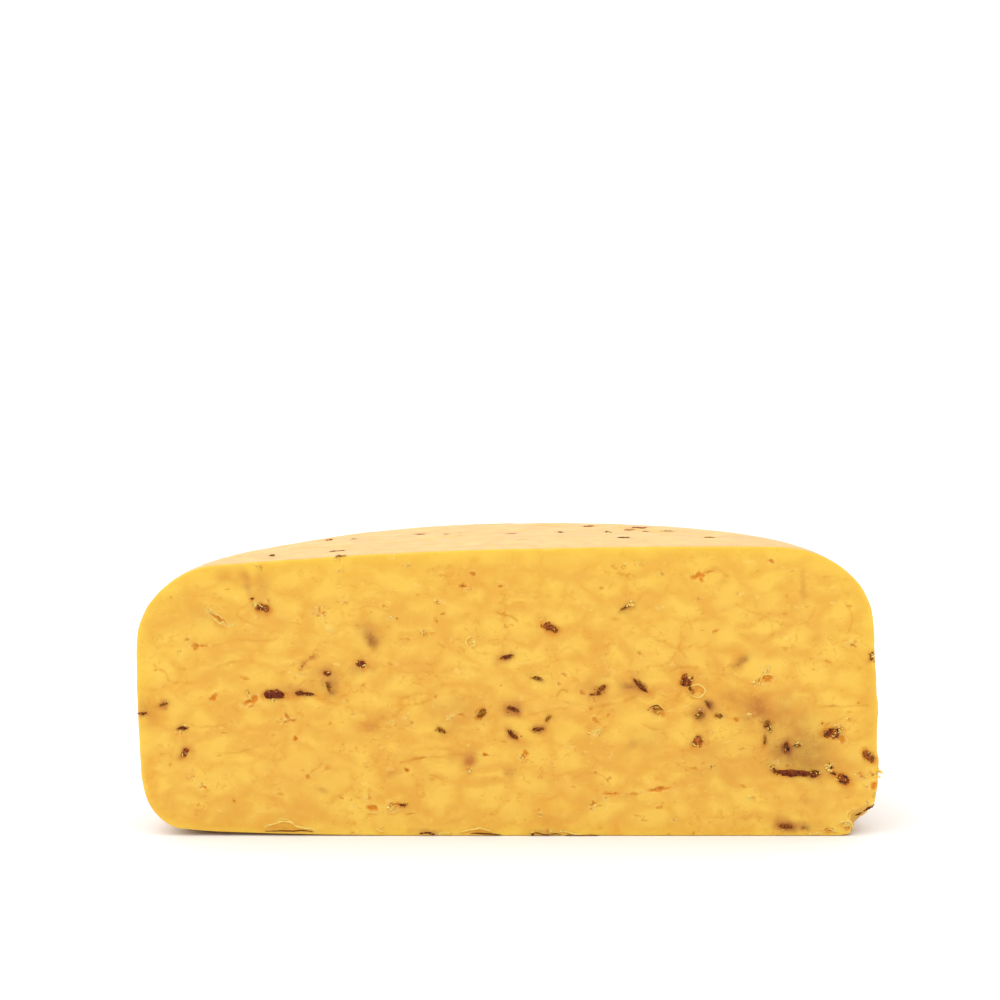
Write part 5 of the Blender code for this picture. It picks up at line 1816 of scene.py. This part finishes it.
    def strand(self, line, width, tone, sides=7):
        """A thin thread of cheese that lies on the cut face along a line of (x, z) points."""
        k = int(self.rng.integers(1, 1 << 20))
        steps = np.hypot(*np.diff(line, axis=0).T)
        share = np.concatenate([[0], np.cumsum(steps)]) / steps.sum()
        slope = np.gradient(line, axis=0)
        slope /= np.maximum(np.linalg.norm(slope, axis=1, keepdims=True), 1e-12)
        across = np.stack([-slope[:, 1], slope[:, 0]], axis=1)
        where = np.stack([share * steps.sum(), np.full(len(share), k * 1e-5), np.zeros(len(share))], axis=1)
        size = width / 2 * (1 + 0.55 * noise(where, 0.9 * MM, k, 2))
        size *= np.clip(np.sin(np.pi * np.clip(share, 0.02, 0.98)) ** 0.35, 0.1, 1)
        sway = 0.35 * width * noise(where, 1.3 * MM, k + 1)
        angles = np.arange(sides) * 2 * math.pi / sides
        local = []
        for i, q in enumerate(line):
            for a in angles:
                x, z = q + across[i] * (sway[i] + size[i] * math.cos(a))
                local.append((x, CUT_Y - 0.04 * MM - 0.7 * size[i] * math.sin(a), z))
        n = len(line) * sides
        local.append((line[0][0], CUT_Y, line[0][1]))
        local.append((line[-1][0], CUT_Y, line[-1][1]))
        faces = []
        for i in range(len(line) - 1):
            for j in range(sides):
                a, b = i * sides + j, i * sides + (j + 1) % sides
                faces += [(a, a + sides, b), (b, a + sides, b + sides)]
        for j in range(sides):
            faces.append((n, j, (j + 1) % sides))
            faces.append((n + 1, n - sides + (j + 1) % sides, n - sides + j))
        faces, local = np.array(faces), np.array(local)
        local[:, 2] = np.maximum(local[:, 2], 0.00003)
        mid = local[: len(line) * sides].reshape(len(line), sides, 3).mean(axis=1)
        a, b, c = (local[faces[: (len(line) - 1) * sides * 2, q]] for q in range(3))
        out = np.einsum("ij,ij->i", np.cross(b - a, c - a), (a + b + c) / 3 - np.repeat(mid[:-1], sides * 2, axis=0))
        if out.sum() < 0:
            faces = faces[:, ::-1]
        self.add(local, faces, (0, 0, 0), np.eye(3), tone)

    def cluster(self, at, axes, length, width, tone, depth=0.28):
        """A dried berry as it is cut: a few angular pieces, with small lighter ones round them."""
        rng = self.rng
        count = int(np.clip(round(length * width / (1.5 * MM * MM)), 2, 8))
        size = math.sqrt(length * width / count) * 1.25
        along = min(length / width, 2.2)
        base = np.asarray(at)
        for k in range(count):
            r = 0.74 * math.sqrt((k + 0.3) / count)
            a = 2.4 * k + rng.uniform(-0.5, 0.5)
            x, y = r * math.cos(a) * (length - size * 0.6) / 2, r * math.sin(a) * max(width - size * 0.6, 0) / 2
            turn = math.radians(rng.uniform(-40, 40) / along)
            c, s = math.cos(turn), math.sin(turn)
            spun = np.array([c * axes[0] + s * axes[1], -s * axes[0] + c * axes[1], axes[2]])
            height = max(size * rng.uniform(0.6, 0.9), 0.7 * MM)
            self.lump(
                base + x * axes[0] + y * axes[1] - depth * height * axes[2],
                spun,
                size * rng.uniform(0.9, 1.3) * along**0.5,
                size * rng.uniform(0.7, 1.0) / along**0.35,
                height,
                float(np.clip(tone + rng.uniform(-0.22, 0.28), 0, 1)),
                planes=9,
                rough=0.26,
                level=3 if size > 1.3 * MM else 2,
                top=depth * height + rng.uniform(0.02, 0.30) * MM,
            )
        for k in range(count + 2):
            a = rng.uniform(0, 2 * math.pi)
            r = rng.uniform(0.66, 1.02)
            piece = rng.uniform(0.28, 0.60 + 0.40 * tone) * MM
            self.lump(
                base + r * (math.cos(a) * length / 2 * axes[0] + math.sin(a) * width / 2 * axes[1]),
                face_spin(axes, rng.uniform(0, 180)),
                piece * rng.uniform(1.0, 2.0),
                piece,
                piece * 0.9,
                float(np.clip(tone + rng.uniform(0.0, 0.7) * (0.35 + 1.3 * tone), 0, 1)),
                planes=5,
                rough=0.25,
                level=2,
                top=rng.uniform(0.05, 0.16) * MM,
            )

    def make(self, material):
        points = np.concatenate(self.points)
        points[:, 2] = np.maximum(points[:, 2], 0.02 * MM)
        obj = object_from(
            self.name, points, np.concatenate(self.faces), {"tone": np.concatenate(self.tones)}
        )
        obj.data.materials.append(material)
        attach(obj, "root")
        return obj


def face_spin(axes, turn):
    """The axes turned in their own surface by an angle in degrees."""
    c, s = math.cos(math.radians(turn)), math.sin(math.radians(turn))
    return np.array([c * axes[0] + s * axes[1], -s * axes[0] + c * axes[1], axes[2]])


def face_axes(turn):
    c, s = math.cos(math.radians(turn)), math.sin(math.radians(turn))
    return np.array([[c, 0, s], [-s, 0, c], [0, -1, 0]])


def herb_bit(herb_and_shade_slivers, at, axes, length, width, tone, bend):
    """A shred of herb or peel: one sliver, two shorter ones that cross it, and specks of it."""
    rng = herb_and_shade_slivers.rng
    height = max(min(length, width) * 0.7, 0.45 * MM)
    herb_and_shade_slivers.sliver(at - 0.12 * height * axes[2], axes, length * 1.02, width * 0.66, height, tone, bend)
    for side in (-1, 1):
        spun = face_spin(axes, side * rng.uniform(8, 38))
        herb_and_shade_slivers.sliver(
            at + axes[0] * side * rng.uniform(0.10, 0.32) * length + axes[1] * rng.uniform(-0.25, 0.25) * width
            - 0.05 * height * axes[2],
            spun,
            length * rng.uniform(0.28, 0.52),
            width * rng.uniform(0.34, 0.56),
            height * 0.9,
            float(np.clip(tone + rng.uniform(-0.1, 0.5), 0, 1)),
            bend * 0.5,
            rings=12,
            sides=8,
        )
    for _ in range(3):
        piece = rng.uniform(0.22, 0.40) * MM
        herb_and_shade_slivers.lump(
            at + axes[0] * rng.uniform(-0.62, 0.62) * length + axes[1] * rng.uniform(-0.9, 0.9) * width,
            face_spin(axes, rng.uniform(0, 180)),
            piece * rng.uniform(1.0, 2.0),
            piece,
            piece * 0.8,
            float(np.clip(tone + rng.uniform(0.0, 0.5), 0, 1)),
            planes=3,
            rough=0.2,
            level=1,
        )


def scatter_outside(fruit, herb_and_shade_slivers):
    """The bits of the outside, each half sunk in its sheet."""
    for sheet, bits in OUTSIDE_BITS.items():
        point = {"top": top_point, "base": base_point, "band": band_point}[sheet]
        for a, b, length, width, turn, tone, herb in bits:
            step = 0.5 * MM
            around = settled(point(np.array([a, a + step, a]), np.array([b, b, b + step]))) - SHIFT
            first = (around[1] - around[0]) / np.linalg.norm(around[1] - around[0])
            out = np.cross(first, around[2] - around[0])
            out /= np.linalg.norm(out)
            middle = np.array([0.0, 0.0, 0.035])
            if (around[0] - middle) @ out < 0:
                out = -out
            axes = face_spin(np.array([first, np.cross(out, first), out]), turn)
            sunk = {"base": 0.32, "top": -0.16, "band": 0.05}[sheet] * MM
            if herb:
                herb_bit(herb_and_shade_slivers, around[0] - sunk * out, axes, length, width, tone, 0.05)
            else:
                fruit.cluster(around[0] - sunk * out, axes, length, width, tone)


def rind_bits_and_shade_lines(herb_and_shade_slivers):
    """Dark slivers on the broken foot and under the front edge: bits of rind, and painted shade where the long thin
    ones along the bottom edge and the row under the notch's ceiling stand in for the shadow there.
    """
    surface = BVHTree.FromPolygons(block_points.tolist(), block_faces.tolist())
    for u, v, length, width, turn, tone in (
        # under the notch's ceiling: bits of rind that are also painted shade, a dark line for the shadow there
        (870.2, 806.6, 9.5, 4.0, 30, 0.25),
        (865.6, 809.8, 7.0, 2.4, 26, 0.10),
        (861.0, 812.4, 5.5, 1.6, 22, 0.15),
        (857.0, 814.4, 7.0, 2.4, 12, 0.05),
        (427.5, 833.7, 17.0, 2.2, 0, 0.05),
        # along the bottom edge: the long thin slivers are partly bits of rind and partly painted shade, dark lines for
        # the contact shadow
        (486.0, 834.4, 32.0, 1.5, -1, 0.10),
        (532.6, 834.6, 3.0, 2.6, 20, 0.20),
        (546.0, 834.9, 32.0, 1.6, 0, 0.70),
        (582.0, 835.2, 34.0, 1.2, 0, 0.85),
        # painted shade: a dark line for the shadow under the torn flap
        (289.0, 831.6, 50.0, 1.5, -3, 0.15),
    ):
        x, z = on_face(u, v)
        at = Vector((x, CUT_Y - 0.03 * MM, max(z, 0.35 * width * PX)))
        if u > 850:  # the broken foot slopes back from the face
            hit = surface.ray_cast(Vector(CAMERA), (at - Vector(CAMERA)).normalized())[0]
            at = hit or surface.find_nearest(at)[0]
        herb_and_shade_slivers.sliver(
            tuple(at),
            face_axes(turn),
            length * PX,
            width * PX,
            0.5 * MM,
            tone,
            0.03,
        )


def bit_under(x, z):
    """Whether a point of the cut face lies on a fruit or herb bit."""
    at = np.array([[x, z]])
    for mark in MARKS:
        if mark[0] not in (BERRY, HERB):
            continue
        cx, cz = on_face(mark[1], mark[2])
        if abs(x - cx) < mark[3] * PX and abs(z - cz) < mark[3] * PX:
            if ellipse(at, *mark[1:6], 0, 0)[0] < 1.05:
                return True
    return False


def scatter_marks(fruit, herb_and_shade_slivers, crumbs_and_glints, coats):
    """The bits that the marks of the cut face name."""
    for mark in MARKS:
        kind = mark[0]
        if kind in (PIT, SMUDGE, SEAM, DOT):
            continue
        if kind == STRAND:
            crumbs_and_glints.strand(face_line(mark[2:]), mark[1] * PX, 0.0)
            continue
        u, v = mark[1:3]
        x, z = on_face(u, v)
        if kind == BERRY:
            length, width, turn, tone = mark[3] * PX, mark[4] * PX, mark[5], mark[6]
            fruit.cluster((x, CUT_Y, z), face_axes(turn), length, width, tone)
            if length > 2 * width:
                fruit.sliver((x, CUT_Y - 0.05 * MM, z), face_axes(turn), length * 0.97, width * 0.82, 0.6 * MM, tone, 0.02)
            for _ in range(3):
                a, r = fruit.rng.uniform(0, 2 * math.pi), fruit.rng.uniform(0.3, 1.05)
                axes = face_axes(turn)
                d = fruit.rng.uniform(0.22, 0.42) * MM
                crumbs_and_glints.lump(
                    np.array([x, CUT_Y - 0.10 * MM, z])
                    + r * (math.cos(a) * length / 2 * axes[0] + math.sin(a) * width / 2 * axes[1]),
                    face_axes(fruit.rng.uniform(0, 180)),
                    d * 1.6,
                    d,
                    d,
                    0.0,
                    planes=3,
                    rough=0.2,
                    level=1,
                )
        elif kind == HERB:
            length, width, turn, tone, bend = mark[3] * PX, mark[4] * PX, mark[5], mark[6], mark[7]
            herb_bit(herb_and_shade_slivers, np.array([x, CUT_Y, z]), face_axes(turn), length, width, tone, bend)
        elif kind == CRUMBS:
            length, width, turn, count, size = mark[3:]
            axes = face_axes(turn)
            for _ in range(count):
                r, a = math.sqrt(crumbs_and_glints.rng.uniform()), crumbs_and_glints.rng.uniform(0, 2 * math.pi)
                at = np.array([x, CUT_Y, z]) + PX * r * (
                    length / 2 * math.cos(a) * axes[0] + width / 2 * math.sin(a) * axes[1]
                )
                d = size * PX * crumbs_and_glints.rng.uniform(0.55, 1.35)
                stretch = crumbs_and_glints.rng.uniform(0.9, 2.1)
                height = d * crumbs_and_glints.rng.uniform(0.5, 0.9)
                out = 0.10 * height + (0.20 * MM if bit_under(at[0], at[2]) else 0.0)
                crumbs_and_glints.lump(
                    at - np.array([0, out, 0]),
                    face_axes(turn + crumbs_and_glints.rng.uniform(-60, 60)),
                    d * stretch,
                    d * 0.8,
                    height,
                    float(crumbs_and_glints.rng.uniform(0, 1) < 0.18) * 0.7,
                    planes=4,
                    rough=0.25,
                    level=2,
                )
        elif kind == RING:
            diameter, thick, open_from, open_to, squeeze = mark[3:]
            coats.ring(
                (x, CUT_Y - 0.06 * MM, z), face_axes(0), diameter * PX, thick * PX, open_from, open_to, squeeze, 0.0
            )


# ---------------------------------------------------------------- making the block and its bits
block_points, block_faces, block_values = build_block()
block_points = chip_corner(block_points, block_values)
block = object_from("cheese_body", block_points, block_faces, block_values)
block.data.materials.append(cheese_material())
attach(block, "root")
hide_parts("cheddar_block")

fruit, herb_and_shade_slivers = Bits("fruit_bits", SEED + 1), Bits("herb_rind_and_shade_slivers", SEED + 2)
crumbs_and_glints, coats = Bits("torn_crumbs_and_glints", SEED + 3), Bits("seed_coats", SEED + 4)
scatter_marks(fruit, herb_and_shade_slivers, crumbs_and_glints, coats)
scatter_outside(fruit, herb_and_shade_slivers)
rind_bits_and_shade_lines(herb_and_shade_slivers)
fruit.make(fruit_material())
herb_and_shade_slivers.make(herb_material())
crumbs_and_glints.make(crumb_material())
coats.make(coat_material())


# ---------------------------------------------------------------- floor, light and camera
def make_floor():
    work = bmesh.new()
    bmesh.ops.create_grid(work, x_segments=24, y_segments=24, size=3.0)
    mesh = bpy.data.meshes.new("floor")
    work.to_mesh(mesh)
    work.free()
    floor = bpy.data.objects.new("floor", mesh)
    floor.location = (0, 0, -0.00002)
    bpy.context.scene.collection.objects.link(floor)
    m = Shader("pale_floor")
    tone = m.mix(m.noise(m.place(), 180.0, 1.0), (0.80, 0.80, 0.80, 1), (0.82, 0.82, 0.82, 1))
    mesh.materials.append(m.finish(tone, 0.8, Specular_IOR_Level=0.2))


def make_lights():
    """A white studio: a bright backdrop and ceiling, a dimmer front, and one wide soft key from the upper left."""
    world = bpy.data.worlds.new("studio")
    world.use_nodes = True
    tree = world.node_tree
    parts = tree.nodes.new("ShaderNodeSeparateXYZ")
    tree.links.new(tree.nodes.new("ShaderNodeTexCoord").outputs["Generated"], parts.inputs[0])

    def ramp(socket, low, high, to_low, to_high):
        made = tree.nodes.new("ShaderNodeMapRange")
        made.interpolation_type = "SMOOTHSTEP"
        tree.links.new(socket, made.inputs["Value"])
        for key, value in (("From Min", low), ("From Max", high), ("To Min", to_low), ("To Max", to_high)):
            made.inputs[key].default_value = value
        return made.outputs["Result"]

    def add(a, b):
        made = tree.nodes.new("ShaderNodeMath")
        tree.links.new(a, made.inputs[0])
        tree.links.new(b, made.inputs[1])
        return made.outputs[0]

    back = tree.nodes["Background"]
    back.inputs["Color"].default_value = (1.0, 1.0, 1.0, 1)
    total = add(
        add(ramp(parts.outputs[1], -0.35, 0.35, 1.00, 1.12), ramp(parts.outputs[2], 0.15, 0.95, 0.0, 0.50)),
        ramp(parts.outputs[0], -1.0, 1.0, 0.06, -0.06),
    )
    tree.links.new(total, back.inputs["Strength"])
    bpy.context.scene.world = world

    key = bpy.data.lights.new("key", "SUN")
    key.energy, key.angle = 1.00, math.radians(75)
    lamp = bpy.data.objects.new("key", key)
    lamp.rotation_euler = Vector((0.45, 0.30, -0.84)).to_track_quat("-Z", "Y").to_euler()
    bpy.context.scene.collection.objects.link(lamp)


def make_camera():
    data = bpy.data.cameras.new("camera")
    data.sensor_width = 36.0
    data.lens = FOCAL_PX * 36.0 / 1000.0
    data.clip_start, data.clip_end = 0.02, 20.0
    camera = bpy.data.objects.new("camera", data)
    camera.location = CAMERA
    camera.rotation_euler = (math.pi / 2 - PITCH, 0, 0)
    bpy.context.scene.collection.objects.link(camera)
    bpy.context.scene.camera = camera


make_floor()
make_lights()
make_camera()
bpy.context.scene.view_settings.view_transform = "Standard"
bpy.context.scene.view_settings.look = "None"

bpy.context.view_layer.update()
